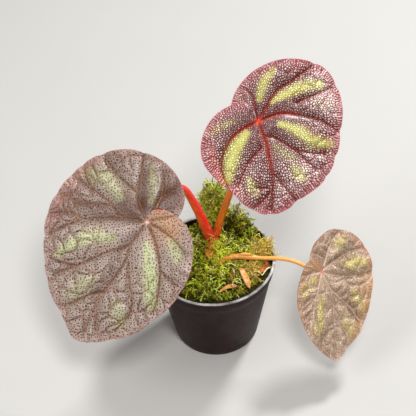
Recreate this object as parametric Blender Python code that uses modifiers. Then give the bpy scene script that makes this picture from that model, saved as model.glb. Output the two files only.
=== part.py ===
"""A small rhizomatous begonia with three broad puckered leaves, growing in live
moss in a round nursery pot.  Lengths are in metres; the tables that describe
shapes are in millimetres and degrees and are multiplied by MM where used.
The origin is the centre of the pot's base and +Z is up."""
import math
import random

import bmesh
import bpy
from mathutils import Matrix, Vector

MM = 0.001
GAP = 0.3 * MM              # clearance between pieces that touch
ROUND_GAP = 0.39 * MM       # wider round faceted stems, whose flats lie inside their radius
PART_NAME = "potted_begonia"

# Pot, a thin moulded shell
POT_HEIGHT = 51.0 * MM
BASE_RADIUS = 21.8 * MM
RIM_RADIUS = 31.5 * MM
WALL = 1.0 * MM
FLOOR = 1.4 * MM
COLLAR_HEIGHT = 6.0 * MM
COLLAR_STEP = 0.7 * MM
COLLAR_EASE = 0.4 * MM       # height of the slope under the collar
DRAFT = 0.1 * MM
LIP_HEIGHT = 1.2 * MM
LIP_WIDTH = 1.4 * MM
CORNER = 0.8 * MM
EDGE = 0.3 * MM
POT_STEPS = 56
DRAIN_HOLES = 5
DRAIN_RADIUS = 2.2 * MM
DRAIN_CIRCLE = 13.5 * MM

# Filling
MEDIUM_TOP = 42.0 * MM
MOSS_LEVEL = 48.3
MOSS_CELLS = 24
MOSS_HUMPS = [               # x, y, rise and spread in mm
    (13.0, 20.0, 14.5, 7.2),
    (27.0, 4.0, 4.5, 5.5),
    (7.0, -14.0, 3.0, 11.0),
    (-16.0, -4.0, 2.0, 10.0),
    (1.0, 12.0, 2.5, 6.0),
    (25.5, 14.0, -5.5, 5.0),
    (-19.0, 19.0, -4.0, 7.0),
]
TUFT_CENTRE = (1.7, 24.5, 63.0)
TUFT_RADII = (5.6, 4.0, 15.5)
TUFT_LEAN = 0.10             # how far the tuft leans back for each mm it rises
MOSS_SHOOTS = 165
TUFT_SHOOTS = 46
SHOOT_RADIUS = 0.9
SHOOT_LENGTHS = (4.5, 6.5)
TUFT_SHOOT_LENGTHS = (3.6, 5.2)
SHOOT_SEED = 11
SHOOT_FREE = 3.6             # shoots keep at least this far from stems, in mm
TUFT_SHOOT_FREE = 4.1
WALL_BAND = 4.0              # shoots this near the wall lean inwards

# Leaf blades
BLADE_THICKNESS = 0.9 * MM
LIGHT = Vector((0.0, -1.0, 1.0))    # the blades turn and swell towards the light
PUCKER = 1.7                 # height of the blade between its veins, in mm
PUCKER_WIDTH = 4.2
LOBE_LIFT = 1.5              # the two basal lobes part by this much each way, in mm
LOBE_SPREAD = 55.0           # degrees
LOBE_START = 5.0             # they part at about this distance from the leafstalk, in mm
LOBE_SMOOTHING = 0.7         # share of the puckering lost where the lobes overlap
DROOP_REACH = 50.0           # a leaf's droop is measured this far out, in mm
RELAX_ROUNDS = 60
DENSE_STEPS = 24

# Each blade is laid out flat about the top of its leafstalk, in degrees and mm.
# The front edge runs out from there along the lobe that lies on top, the outline
# goes round the blade, and the back edge runs out along the lobe beneath.
LEAVES = {
    "leaf_left": {
        "attach": (-31.0, -12.0, 92.0),
        "normal": (-0.30, -0.55, 0.78),
        "droop": 4.5,
        "cells": 26,
        "colour": (0.30, 0.21, 0.20),
        "front_edge": [(420, 2.5), (409, 6), (397, 8.7)],
        "outline": [(397, 8.7), (384, 11.4), (363, 16), (344, 21.8), (325, 27.4), (304, 34.5),
                    (284, 42), (270, 48), (259, 54.5), (246, 61), (238, 66), (232, 67.5),
                    (223, 63), (208, 60), (190, 56), (168, 53.3), (152, 49.5), (132, 45),
                    (108, 39.2), (85, 33.3), (66, 29.3), (47, 25.5), (27, 22), (5, 16.2),
                    (-6, 12.5)],
        "back_edge": [(70, 2.5), (60, 6), (43, 9), (20, 11.2), (-6, 12.5)],
        "veins": [
            [(228, 0), (229, 13), (236, 22), (233, 40), (235, 64)],
            [(229, 13), (212, 23), (205, 42), (203, 55)],
            [(233, 40), (226, 45), (219, 59)],
            [(165, 0), (165, 9), (172, 30), (168, 40), (169, 52)],
            [(164, 13), (150, 20), (144, 47)],
            [(109, 0), (108, 14), (95, 23), (91, 34)],
            [(293, 0), (291, 10), (283, 24), (276, 36), (271, 44)],
            [(330, 0), (328, 9), (317, 25)],
            [(372, 0), (366, 14)],
            [(54, 2), (55, 12), (44, 20)],
            [(52, 9), (67, 25)],
            [(240, 21), (256, 40), (249, 55)],
        ],
    },
    "leaf_top": {
        "attach": (24.6, 16.0, 128.0),
        "normal": (0.20, -0.50, 0.84),
        "droop": 5.0,
        "cells": 26,
        "colour": (0.28, 0.10, 0.11),
        "front_edge": [(115, 2.5), (115, 7), (122, 10.9)],
        "outline": [(122, 10.9), (139, 13.3), (154, 15.7), (164, 18.3), (178, 22.3), (194, 27.6),
                    (207, 31.9), (219, 34.8), (232, 36), (249, 39), (263, 44), (275, 46.2),
                    (286, 44.7), (292, 43.1), (301, 42.3), (317, 42.4), (336, 41.3),
                    (354, 41.2), (371, 43.3), (385, 44.7), (399, 44.5), (414, 39.4),
                    (431, 32.5), (446, 26.9), (467, 21), (490, 17), (506, 15), (522, 13.6)],
        "back_edge": [(464, 2.5), (470, 5.6), (497, 9.3), (522, 13.6)],
        "veins": [
            [(380, 0), (381, 10), (369, 21), (361, 32), (353, 40)],
            [(290, 0), (287, 12), (282, 25), (287, 30), (293, 42)],
            [(282, 25), (275, 44)],
            [(289, 8), (313, 11), (320, 21), (319, 36)],
            [(207, 0), (208, 9), (217, 19), (229, 29), (243, 36)],
            [(416, 0), (417, 17), (409, 27), (405, 40)],
            [(463, 0), (457, 11), (469, 17)],
            [(274, 13), (255, 20), (250, 34)],
            [(386, 22), (385, 42)],
            [(276, 35), (264, 43)],
        ],
    },
    "leaf_right": {
        "attach": (53.8, -12.3, 50.0),
        "normal": (0.35, -0.62, 0.70),
        "droop": 4.0,
        "cells": 20,
        "colour": (0.34, 0.24, 0.17),
        "front_edge": [(84, 2.5), (89, 5.2), (106, 7.3)],
        "outline": [(106, 7.3), (126, 8.4), (141, 8.9), (160, 9.5), (180, 10.6), (200, 13.2),
                    (220, 18.3), (240, 25.7), (252, 31.8), (264, 38.5), (274, 44.7),
                    (278, 45.8), (283, 43), (292, 39.3), (303, 36.7), (317, 32.8),
                    (335, 29.8), (355, 28.8), (374, 28.5), (398, 27), (416, 25), (433, 22.1),
                    (451, 17.1), (473, 12.2), (496, 8.3), (520, 7)],
        "back_edge": [(434, 2.5), (443, 4.5), (466, 6), (494, 6.7), (520, 7)],
        "veins": [
            [(339, 0), (346, 10), (352, 20), (357, 28)],
            [(410, 0), (397, 6), (392, 16), (385, 26)],
            [(295, 0), (294, 10), (283, 24), (277, 43)],
            [(254, 0), (254, 7), (252, 30)],
            [(296, 9), (307, 20), (307, 32)],
            [(190, 0), (188, 6), (202, 11)],
            [(427, 4), (427, 16), (421, 22)],
        ],
    },
}

# Leafstalks and rhizome: points in mm along each, with the radius at each point
PETIOLES = {
    "petiole_left": {
        "colour": (0.72, 0.16, 0.05),
        "points": [(-0.9, 11.8, 54.0), (-3.4, 11.0, 63.6), (-6.0, 10.3, 74.0), (-9.1, 9.3, 84.3),
                   (-12.1, 7.2, 93.4), (-15.8, 3.6, 98.4), (-20.5, -1.6, 97.6),
                   (-25.8, -7.2, 93.2), (-29.2, -10.4, 90.2), (-30.6, -11.3, 90.9)],
        "radii": [2.4, 2.3, 2.1, 1.9, 1.8, 1.8, 1.8, 1.7, 1.6, 1.6],
    },
    "petiole_top": {
        "colour": (0.75, 0.24, 0.05),
        "points": [(2.6, 14.0, 54.5), (4.2, 13.8, 63.2), (6.6, 13.3, 72.2), (8.9, 13.5, 80.2),
                   (10.7, 13.8, 86.4), (14.2, 14.4, 96.5), (18.6, 15.2, 108.9),
                   (22.6, 16.4, 120.4), (24.1, 17.0, 125.0), (24.3, 16.7, 126.7)],
        "radii": [1.8, 1.75, 1.7, 1.7, 1.7, 1.6, 1.6, 1.5, 1.5, 1.5],
    },
    "petiole_right": {
        "colour": (0.66, 0.38, 0.14),
        "points": [(2.6, -5.2, 51.6), (4.9, -4.7, 53.9), (8.3, -4.2, 55.5), (13.4, -4.0, 55.9),
                   (18.5, -4.2, 55.0), (23.4, -4.4, 54.2), (32.4, -5.0, 53.9),
                   (38.4, -6.0, 53.2), (43.3, -7.6, 51.9), (48.2, -9.6, 50.0),
                   (51.8, -10.9, 48.4), (53.3, -11.6, 49.0)],
        "radii": [1.1, 1.1, 1.15, 1.4, 1.35, 1.1, 1.05, 1.0, 1.0, 1.0, 1.0, 1.0],
    },
}
RHIZOME_POINTS = [(0.9, 14.5, 51.2), (0.6, 11.0, 51.6), (0.2, 6.0, 50.6), (1.2, 0.0, 50.2),
                  (2.4, -5.6, 50.2)]
RHIZOME_RADII = [2.4, 3.4, 2.9, 2.7, 1.9]
BUD_TILT = -35.0             # degrees
BUD_TURN = 20.0
BUDS = [                     # centre, radius and length of each bud, in mm
    ((-2.4, 1.6, 51.6), 1.9, 2.7),
    ((-1.2, 5.4, 52.3), 1.5, 2.2),
]
SCALES = {                   # dry leaf scales lying on the moss: x, y and width in mm
    "dry_scale_front": {"points": [(13.0, -9.4), (15.2, -15.0), (17.2, -22.3)],
                        "width": 3.4, "colour": (0.62, 0.36, 0.17)},
    "dry_scale_thin": {"points": [(2.2, -23.6), (6.4, -21.8), (11.0, -21.2)],
                       "width": 1.9, "colour": (0.66, 0.40, 0.20)},
    "dry_scale_rim": {"points": [(27.2, -4.6), (25.4, -9.0), (22.0, -12.4)],
                      "width": 2.8, "colour": (0.50, 0.25, 0.08)},
}
SCALE_THICKNESS = 0.6
SCALE_LIFT = 0.45            # a scale's underside lies this far above the moss surface, in mm
SCALE_CURL = 0.9


def clear_scene():
    for obj in list(bpy.data.objects):
        bpy.data.objects.remove(obj)


def new_collection(name):
    collection = bpy.data.collections.new(name)
    bpy.context.scene.collection.children.link(collection)
    return collection


def plain_material(name, colour, roughness):
    material = bpy.data.materials.new(name)
    material.use_nodes = True
    shader = material.node_tree.nodes["Principled BSDF"]
    shader.inputs["Base Color"].default_value = (*colour, 1.0)
    shader.inputs["Roughness"].default_value = roughness
    shader.inputs["Metallic"].default_value = 0.0
    return material


def add_object(name, mesh, collection, material=None):
    obj = bpy.data.objects.new(name, mesh)
    collection.objects.link(obj)
    if material:
        mesh.materials.clear()
        mesh.materials.append(material)
    return obj


def mesh_from(bm, name):
    mesh = bpy.data.meshes.new(name)
    bmesh.ops.recalc_face_normals(bm, faces=bm.faces[:])
    bm.to_mesh(mesh)
    bm.free()
    return mesh


def baked_mesh(obj):
    """The object's mesh with its modifiers applied, or a curve's mesh."""
    bpy.context.view_layer.update()
    graph = bpy.context.evaluated_depsgraph_get()
    return bpy.data.meshes.new_from_object(obj.evaluated_get(graph))


def millimetres(point):
    return Vector(point) * MM


def catmull_rom(before, start, end, after, share):
    """One coordinate of a smooth curve through start and end."""
    square = share * share
    cube = square * share
    return 0.5 * (2 * start + (end - before) * share
                  + (2 * before - 5 * start + 4 * end - after) * square
                  + (3 * start - before - 3 * end + after) * cube)


def dense_curve(points, steps):
    """Points of a smooth curve through the given points, with steps to each span."""
    padded = [points[0], *points, points[-1]]
    curve = []
    for k in range(len(points) - 1):
        span = padded[k:k + 4]
        for step in range(steps):
            curve.append(tuple(catmull_rom(*values, step / steps) for values in zip(*span)))
    curve.append(tuple(points[-1]))
    return curve


def add_tube(name, points, radii, collection, grow=0.0):
    """A closed mesh tube along a smooth curve, its radius changing on the way."""
    controls = [(*point, radius) for point, radius in zip(points, radii)]
    path = dense_curve(controls, 2)
    curve = bpy.data.curves.new(name, "CURVE")
    curve.dimensions = "3D"
    curve.bevel_depth = MM
    curve.bevel_resolution = 2
    curve.use_fill_caps = True
    spline = curve.splines.new("POLY")
    spline.points.add(len(path) - 1)
    for point, (x, y, z, radius) in zip(spline.points, path):
        point.co = (x * MM, y * MM, z * MM, 1.0)
        point.radius = radius + grow / MM
    guide = add_object(name + "_guide", curve, collection)
    mesh = baked_mesh(guide)
    bpy.data.objects.remove(guide)
    bm = bmesh.new()
    bm.from_mesh(mesh)
    bmesh.ops.remove_doubles(bm, verts=bm.verts[:], dist=0.01 * MM)
    return add_object(name, mesh_from(bm, name), collection)


def cut(obj, cutter, operation="DIFFERENCE"):
    modifier = obj.modifiers.new(operation.lower() + "_" + cutter.name, "BOOLEAN")
    modifier.operation = operation
    modifier.object = cutter
    return modifier


def as_cutter(obj):
    obj.display_type = "WIRE"
    obj.hide_render = True
    return obj


def inner_radius(height):
    """Radius of the pot's inner wall at a height, in metres."""
    lower = BASE_RADIUS - WALL
    upper = RIM_RADIUS - LIP_WIDTH
    return lower + (upper - lower) * (height - FLOOR) / (POT_HEIGHT - FLOOR)


def build_pot(parts, cutters):
    collar_foot = POT_HEIGHT - COLLAR_HEIGHT
    outer_foot = inner_radius(collar_foot) + WALL
    lip_foot = POT_HEIGHT - LIP_HEIGHT
    profile = [
        (0.0, FLOOR),
        (inner_radius(FLOOR) - CORNER, FLOOR),
        (inner_radius(FLOOR + CORNER), FLOOR + CORNER),
        (inner_radius(POT_HEIGHT - EDGE), POT_HEIGHT - EDGE),
        (inner_radius(POT_HEIGHT) + EDGE, POT_HEIGHT),
        (RIM_RADIUS - EDGE, POT_HEIGHT),
        (RIM_RADIUS, POT_HEIGHT - EDGE),
        (RIM_RADIUS, lip_foot + EDGE),
        (RIM_RADIUS - EDGE, lip_foot),
        (outer_foot + COLLAR_STEP, lip_foot - EDGE),
        (outer_foot + COLLAR_STEP - DRAFT, collar_foot),
        (outer_foot, collar_foot - COLLAR_EASE),
        (BASE_RADIUS + DRAFT, CORNER),
        (BASE_RADIUS - CORNER, 0.0),
        (0.0, 0.0),
    ]
    bm = bmesh.new()
    verts = [bm.verts.new((radius, 0.0, height)) for radius, height in profile]
    for first, second in zip(verts, verts[1:]):
        bm.edges.new((first, second))
    mesh = bpy.data.meshes.new("pot")
    bm.to_mesh(mesh)
    bm.free()
    pot = add_object("pot", mesh, parts, plain_material("pot plastic", (0.035, 0.028, 0.028), 0.5))
    screw = pot.modifiers.new("turned", "SCREW")
    screw.steps = POT_STEPS
    screw.render_steps = POT_STEPS
    screw.use_merge_vertices = True
    screw.merge_threshold = 0.00001
    for k in range(DRAIN_HOLES):
        angle = math.tau * k / DRAIN_HOLES
        bm = bmesh.new()
        bmesh.ops.create_cone(bm, cap_ends=True, segments=12, radius1=DRAIN_RADIUS,
                              radius2=DRAIN_RADIUS, depth=FLOOR * 4)
        drain = add_object(f"drain_hole_{k}", mesh_from(bm, "drain_hole"), cutters)
        drain.location = (DRAIN_CIRCLE * math.cos(angle), DRAIN_CIRCLE * math.sin(angle), 0.0)
        cut(pot, as_cutter(drain))


def build_medium(parts):
    bottom = FLOOR + GAP
    foot_radius = inner_radius(bottom) - CORNER - GAP
    top_radius = inner_radius(MEDIUM_TOP) - GAP
    bm = bmesh.new()
    bmesh.ops.create_cone(bm, cap_ends=True, segments=POT_STEPS, radius1=foot_radius,
                          radius2=top_radius, depth=MEDIUM_TOP - bottom)
    bmesh.ops.translate(bm, verts=bm.verts[:], vec=(0.0, 0.0, (MEDIUM_TOP + bottom) / 2))
    add_object("growing_medium", mesh_from(bm, "growing_medium"), parts,
               plain_material("growing medium", (0.06, 0.035, 0.02), 0.95))


def disc_place(a, b):
    """Share of a turn and share of the radius of a square's point spread on a disc."""
    if a == 0.0 and b == 0.0:
        return 0.0, 0.0
    if abs(a) >= abs(b):
        reach = a
        angle = math.pi / 4 * (b / a)
    else:
        reach = b
        angle = math.pi / 2 - math.pi / 4 * (a / b)
    if reach < 0.0:
        angle += math.pi
    return (angle / math.tau) % 1.0, abs(reach)


def even_samples(points, count):
    """Points at even distances along a smooth curve given in degrees and mm."""
    curve = dense_curve(points, DENSE_STEPS)
    lengths = [0.0]
    for start, end in zip(curve, curve[1:]):
        lengths.append(lengths[-1] + (flat_point(*end) - flat_point(*start)).length)
    samples = []
    k = 0
    for step in range(count + 1):
        wanted = lengths[-1] * step / count
        while k < len(curve) - 2 and lengths[k + 1] < wanted:
            k += 1
        span = max(lengths[k + 1] - lengths[k], 1e-9)
        share = min(max((wanted - lengths[k]) / span, 0.0), 1.0)
        samples.append(tuple(s + (e - s) * share for s, e in zip(curve[k], curve[k + 1])))
    return samples


def flat_point(degrees, radius):
    angle = math.radians(degrees)
    return Vector((radius * math.cos(angle), radius * math.sin(angle)))


def sample_between(samples, place):
    k = min(int(place), len(samples) - 2)
    share = place - k
    return tuple(s + (e - s) * share for s, e in zip(samples[k], samples[k + 1]))


def blade_layout(leaf):
    """The blade laid out flat in mm as a grid that is slit between its basal lobes.
    Returns the mesh and, for each vertex, its angle counted on round the blade, so
    that the two lobes stay apart where one lies over the other."""
    cells = leaf["cells"]
    tiny = 0.1 / cells
    bm = bmesh.new()
    bmesh.ops.create_grid(bm, x_segments=cells, y_segments=cells, size=1.0)
    slit = [edge for edge in bm.edges
            if all(abs(v.co.y) < tiny and v.co.x > -tiny for v in edge.verts)]
    bmesh.ops.split_edges(bm, edges=slit)
    bm.verts.ensure_lookup_table()
    bm.verts.index_update()
    outline = even_samples(leaf["outline"], 4 * cells)
    front = even_samples([(leaf["front_edge"][0][0], 0.0), *leaf["front_edge"]], cells // 2)
    back = even_samples([(leaf["back_edge"][0][0], 0.0), *leaf["back_edge"]], cells // 2)
    first = outline[0][0]
    last = outline[-1][0]
    angles = {}
    back_side = {vert for vert in bm.verts
                 if all(face.calc_center_median().y < 0.0 for face in vert.link_faces)}
    for vert in bm.verts:
        turn, reach = disc_place(vert.co.x, vert.co.y)
        on_slit = abs(vert.co.y) < tiny and vert.co.x > tiny
        below = vert in back_side
        if on_slit and below:
            turn = 1.0
        rim = sample_between(outline, turn * 4 * cells)
        start = sample_between(front, reach * (cells // 2))
        end = sample_between(back, reach * (cells // 2))
        if on_slit:
            degrees, radius = end if below else start
        elif reach > 1.0 - tiny:
            degrees, radius = rim
        else:
            share = (rim[0] - first) / (last - first)
            degrees = start[0] + (end[0] - start[0]) * share
            radius = reach * rim[1]
        angles[vert.index] = degrees
        vert.co.xy = flat_point(degrees, radius)
    inner = [v for v in bm.verts if not v.is_boundary]
    for _ in range(RELAX_ROUNDS):
        bmesh.ops.smooth_vert(bm, verts=inner, factor=0.5, use_axis_x=True, use_axis_y=True)
    for vert in bm.verts:
        if vert.co.xy.length > tiny:
            flat = math.degrees(math.atan2(vert.co.y, vert.co.x))
            angles[vert.index] = flat + 360.0 * round((angles[vert.index] - flat) / 360.0)
    return bm, angles


def vein_distance(leaf, degrees, place):
    """Distance in mm from a place on the blade to its nearest vein."""
    nearest = 99.0
    for vein in leaf["veins"]:
        if abs(vein[-1][0] - degrees) > 150.0:
            continue
        for start, end in zip(vein, vein[1:]):
            foot = flat_point(*start)
            along = flat_point(*end) - foot
            share = min(max((place - foot).dot(along) / along.length_squared, 0.0), 1.0)
            nearest = min(nearest, (place - foot - along * share).length)
    return nearest


def blade_height(leaf, degrees, place):
    """Height of the blade over its flat layout, in mm."""
    radius = place.length
    front = math.exp(-((degrees - leaf["front_edge"][-1][0]) / LOBE_SPREAD) ** 2)
    back = math.exp(-((degrees - leaf["back_edge"][-1][0]) / LOBE_SPREAD) ** 2)
    part = 1.0 - math.exp(-(radius / LOBE_START) ** 2)
    smooth = 1.0 - LOBE_SMOOTHING * max(front, back)
    distance = vein_distance(leaf, degrees, place)
    pucker = PUCKER * smooth * (1.0 - math.exp(-distance / PUCKER_WIDTH))
    droop = leaf["droop"] * (radius / DROOP_REACH) ** 2
    return pucker - droop + LOBE_LIFT * part * (front - back)


def blade_axes(leaf):
    normal = Vector(leaf["normal"]).normalized()
    across = (Vector((1.0, 0.0, 0.0)) - normal * normal.x).normalized()
    return across, normal.cross(across), normal


def build_leaf(name, leaf, parts):
    across, along, normal = blade_axes(leaf)
    rise = LIGHT / LIGHT.dot(normal)
    slope = Vector((rise.dot(across), rise.dot(along)))
    bm, angles = blade_layout(leaf)
    for vert in bm.verts:
        place = vert.co.xy
        height = blade_height(leaf, angles[vert.index], place)
        place = place + slope * height
        vert.co = Vector((place.x, place.y, height)) * MM
    bmesh.ops.triangulate(bm, faces=bm.faces[:])
    under = bmesh.ops.extrude_face_region(bm, geom=bm.faces[:])["geom"]
    lower = [item for item in under if isinstance(item, bmesh.types.BMVert)]
    bmesh.ops.translate(bm, verts=lower, vec=(0.0, 0.0, -BLADE_THICKNESS))
    blade = add_object(name, mesh_from(bm, name), parts,
                       plain_material(name + " blade", leaf["colour"], 0.5))
    turn = Matrix((across, along, normal)).transposed().to_4x4()
    blade.matrix_world = Matrix.Translation(millimetres(leaf["attach"])) @ turn


def add_bud(name, bud, collection, grow=0.0):
    centre, radius, length = bud
    bm = bmesh.new()
    bmesh.ops.create_uvsphere(bm, u_segments=10, v_segments=8, radius=1.0)
    bmesh.ops.scale(bm, verts=bm.verts[:],
                    vec=(radius * MM + grow, length * MM + grow, radius * MM + grow))
    obj = add_object(name, mesh_from(bm, name), collection)
    obj.location = millimetres(centre)
    obj.rotation_euler = (math.radians(BUD_TILT), 0.0, math.radians(BUD_TURN))
    return obj


def build_rhizome(parts, cutters):
    """The rhizome with its buds, and the clearance round each for its neighbours."""
    material = plain_material("rhizome", (0.55, 0.20, 0.06), 0.55)
    rhizome = add_tube("rhizome", RHIZOME_POINTS, RHIZOME_RADII, parts)
    rhizome.data.materials.append(material)
    clearances = [as_cutter(add_tube("rhizome_clearance", RHIZOME_POINTS, RHIZOME_RADII,
                                     cutters, grow=ROUND_GAP))]
    for k, bud in enumerate(BUDS):
        body = as_cutter(add_bud(f"bud_{k}", bud, cutters))
        cut(rhizome, body, "UNION")
        clearances.append(as_cutter(add_bud(f"bud_clearance_{k}", bud, cutters, grow=ROUND_GAP)))
    return clearances


def build_petioles(parts, cutters, clearances):
    stalk_clearances = []
    for name, petiole in PETIOLES.items():
        stalk = add_tube(name, petiole["points"], petiole["radii"], parts)
        stalk.data.materials.append(plain_material(name, petiole["colour"], 0.35))
        for clearance in clearances:
            cut(stalk, clearance)
        stalk_clearances.append(as_cutter(
            add_tube(name + "_clearance", petiole["points"], petiole["radii"],
                     cutters, grow=ROUND_GAP)))
    return stalk_clearances


def moss_height(x, y):
    """Height of the moss surface in mm."""
    height = MOSS_LEVEL + 0.5 * math.sin(x * 0.5 + 1.0) * math.cos(y * 0.45)
    for hump_x, hump_y, rise, spread in MOSS_HUMPS:
        away = ((x - hump_x) ** 2 + (y - hump_y) ** 2) / spread ** 2
        height += rise * math.exp(-away)
    return height


def add_moss_bed(collection):
    bottom = MEDIUM_TOP + GAP
    bm = bmesh.new()
    bmesh.ops.create_grid(bm, x_segments=MOSS_CELLS, y_segments=MOSS_CELLS, size=1.0)
    for vert in bm.verts:
        turn, reach = disc_place(vert.co.x, vert.co.y)
        edge = (inner_radius(MOSS_LEVEL * MM) - GAP) / MM
        place = flat_point(360.0 * turn, reach * edge)
        height = moss_height(place.x, place.y)
        if vert.is_boundary:
            place = flat_point(360.0 * turn, (inner_radius(height * MM) - GAP) / MM)
        vert.co = Vector((place.x, place.y, height)) * MM
    rim = [edge for edge in bm.edges if edge.is_boundary]
    skirt = bmesh.ops.extrude_edge_only(bm, edges=rim)["geom"]
    foot = [item for item in skirt if isinstance(item, bmesh.types.BMVert)]
    for vert in foot:
        vert.co.xy = vert.co.xy.normalized() * (inner_radius(bottom) - GAP)
        vert.co.z = bottom
    bmesh.ops.holes_fill(bm, edges=[edge for edge in bm.edges if edge.is_boundary])
    return add_object("moss", mesh_from(bm, "moss"), collection)


def add_tuft(collection):
    """The tall tuft that stands at the back of the pot."""
    bm = bmesh.new()
    bmesh.ops.create_uvsphere(bm, u_segments=12, v_segments=9, radius=1.0)
    for vert in bm.verts:
        vert.co = tuft_point(vert.co)
    return add_object("moss_tuft", mesh_from(bm, "moss_tuft"), collection)


def tuft_point(unit):
    """The point of the tuft's surface that faces the way of a unit vector."""
    rise = unit.z * TUFT_RADII[2]
    return Vector((TUFT_CENTRE[0] + unit.x * TUFT_RADII[0],
                   TUFT_CENTRE[1] + unit.y * TUFT_RADII[1] + rise * TUFT_LEAN,
                   TUFT_CENTRE[2] + rise)) * MM


def add_shoot(name, base, heading, length, bend, collection):
    """One three-sided moss shoot that bends towards its tip."""
    radius = SHOOT_RADIUS * MM
    half = length * MM / 2
    bm = bmesh.new()
    bmesh.ops.create_cone(bm, cap_ends=True, segments=3, radius1=radius, radius2=radius * 0.8,
                          depth=half)
    top = max(bm.faces, key=lambda face: face.calc_center_median().z)
    tip = bmesh.ops.extrude_discrete_faces(bm, faces=[top])["faces"][0]
    centre = tip.calc_center_median()
    for vert in tip.verts:
        vert.co = centre + (vert.co - centre) * 0.3 + Vector((bend * MM, 0.0, half))
    shoot = add_object(name, mesh_from(bm, name), collection)
    shoot.matrix_world = (Matrix.Translation(base)
                          @ heading.to_track_quat("Z", "X").to_matrix().to_4x4())


def distance_to_stems(point):
    """Distance in mm from a point to the nearest stem, bud or dry scale."""
    nearest = 99.0
    routes = [petiole["points"] for petiole in PETIOLES.values()]
    routes.append(RHIZOME_POINTS)
    for scale in SCALES.values():
        routes.append([(x, y, moss_height(x, y)) for x, y in scale["points"]])
    for route in routes:
        for start, end in zip(route, route[1:]):
            foot = Vector(start)
            along = Vector(end) - foot
            share = min(max((point - foot).dot(along) / along.length_squared, 0.0), 1.0)
            nearest = min(nearest, (point - foot - along * share).length)
    for centre, _, _ in BUDS:
        nearest = min(nearest, (point - Vector(centre)).length)
    return nearest


def plant_shoots(collection):
    draw = random.Random(SHOOT_SEED)
    golden_turn = math.pi * (3.0 - math.sqrt(5.0))
    reach = inner_radius(MOSS_LEVEL * MM) / MM - 2.4
    for k in range(MOSS_SHOOTS):
        radius = reach * math.sqrt((k + 0.5) / MOSS_SHOOTS)
        angle = golden_turn * k
        x = radius * math.cos(angle)
        y = radius * math.sin(angle)
        length = draw.uniform(*SHOOT_LENGTHS)
        lean = draw.uniform(0.5, 1.3)
        way = draw.uniform(0.0, math.tau)
        bend = draw.uniform(-2.0, 2.0)
        heading = Vector((lean * math.cos(way), lean * math.sin(way), 1.0))
        if radius > reach - WALL_BAND:
            heading = Vector((-0.5 * x / radius, -0.5 * y / radius, 1.0))
            bend *= 0.2
        base = Vector((x, y, moss_height(x, y)))
        tip = base + heading.normalized() * length * 0.8
        if min(distance_to_stems(base), distance_to_stems(tip)) > SHOOT_FREE:
            add_shoot("shoot", base * MM, heading, length, bend, collection)
    for k in range(TUFT_SHOOTS):
        height = -0.55 + 1.5 * (k + 0.5) / TUFT_SHOOTS
        ring = math.sqrt(1.0 - height * height)
        unit = Vector((ring * math.cos(golden_turn * k), ring * math.sin(golden_turn * k), height))
        base = tuft_point(unit * 0.97)
        heading = Vector((unit.x, unit.y, 1.3))
        length = draw.uniform(*TUFT_SHOOT_LENGTHS)
        bend = draw.uniform(-1.5, 1.5)
        if distance_to_stems(base / MM) > TUFT_SHOOT_FREE:
            add_shoot("tuft_shoot", base, heading, length, bend, collection)


def keep_largest_body(mesh):
    """Drops the loose scraps that cutting leaves."""
    bm = bmesh.new()
    bm.from_mesh(mesh)
    left = set(bm.verts)
    bodies = []
    while left:
        body = {left.pop()}
        front = list(body)
        while front:
            vert = front.pop()
            for edge in vert.link_edges:
                other = edge.other_vert(vert)
                if other in left:
                    left.remove(other)
                    body.add(other)
                    front.append(other)
        bodies.append(body)
    bodies.sort(key=len)
    for body in bodies[:-1]:
        bmesh.ops.delete(bm, geom=list(body), context="VERTS")
    bmesh.ops.triangulate(bm, faces=bm.faces[:])
    bm.to_mesh(mesh)
    bm.free()


def build_moss(parts, clearances):
    moss = add_moss_bed(parts)
    growth = new_collection("moss_growth")
    add_tuft(growth)
    plant_shoots(growth)
    union = moss.modifiers.new("growth", "BOOLEAN")
    union.operation = "UNION"
    union.operand_type = "COLLECTION"
    union.collection = growth
    union.solver = "MANIFOLD"
    for clearance in clearances:
        cut(moss, clearance).solver = "MANIFOLD"
    mesh = baked_mesh(moss)
    moss.modifiers.clear()
    for obj in list(growth.objects):
        bpy.data.objects.remove(obj)
    bpy.data.collections.remove(growth)
    keep_largest_body(mesh)
    moss.data = mesh
    mesh.materials.clear()
    mesh.materials.append(plain_material("moss", (0.30, 0.38, 0.04), 0.9))


def add_scale(name, scale, collection, grow=0.0):
    """A thin dry scale, pointed at both ends, lying along the moss."""
    columns = 8
    bm = bmesh.new()
    bmesh.ops.create_grid(bm, x_segments=columns, y_segments=2, size=1.0)
    route = dense_curve(scale["points"], columns)
    for vert in bm.verts:
        share = (vert.co.x + 1.0) / 2.0
        side = vert.co.y
        k = min(int(share * (len(route) - 1)), len(route) - 2)
        place = Vector(route[k]).lerp(Vector(route[k + 1]), share * (len(route) - 1) - k)
        heading = (Vector(route[k + 1]) - Vector(route[k])).normalized()
        width = scale["width"] * (0.12 + 0.88 * math.sin(math.pi * share) ** 0.8) + 2 * grow / MM
        place += Vector((-heading.y, heading.x)) * side * width / 2
        lift = SCALE_LIFT + SCALE_THICKNESS + SCALE_CURL * side * side
        height = moss_height(place.x, place.y) + lift
        vert.co = Vector((place.x, place.y, height)) * MM
        vert.co.z += grow
    bmesh.ops.triangulate(bm, faces=bm.faces[:])
    under = bmesh.ops.extrude_face_region(bm, geom=bm.faces[:])["geom"]
    lower = [item for item in under if isinstance(item, bmesh.types.BMVert)]
    bmesh.ops.translate(bm, verts=lower, vec=(0.0, 0.0, -SCALE_THICKNESS * MM - 2 * grow))
    return add_object(name, mesh_from(bm, name), collection)


def build_scales(parts, cutters):
    clearances = []
    for name, scale in SCALES.items():
        obj = add_scale(name, scale, parts)
        obj.data.materials.append(plain_material(name, scale["colour"], 0.6))
        clearances.append(as_cutter(add_scale(name + "_clearance", scale, cutters, grow=GAP)))
    return clearances


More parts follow.
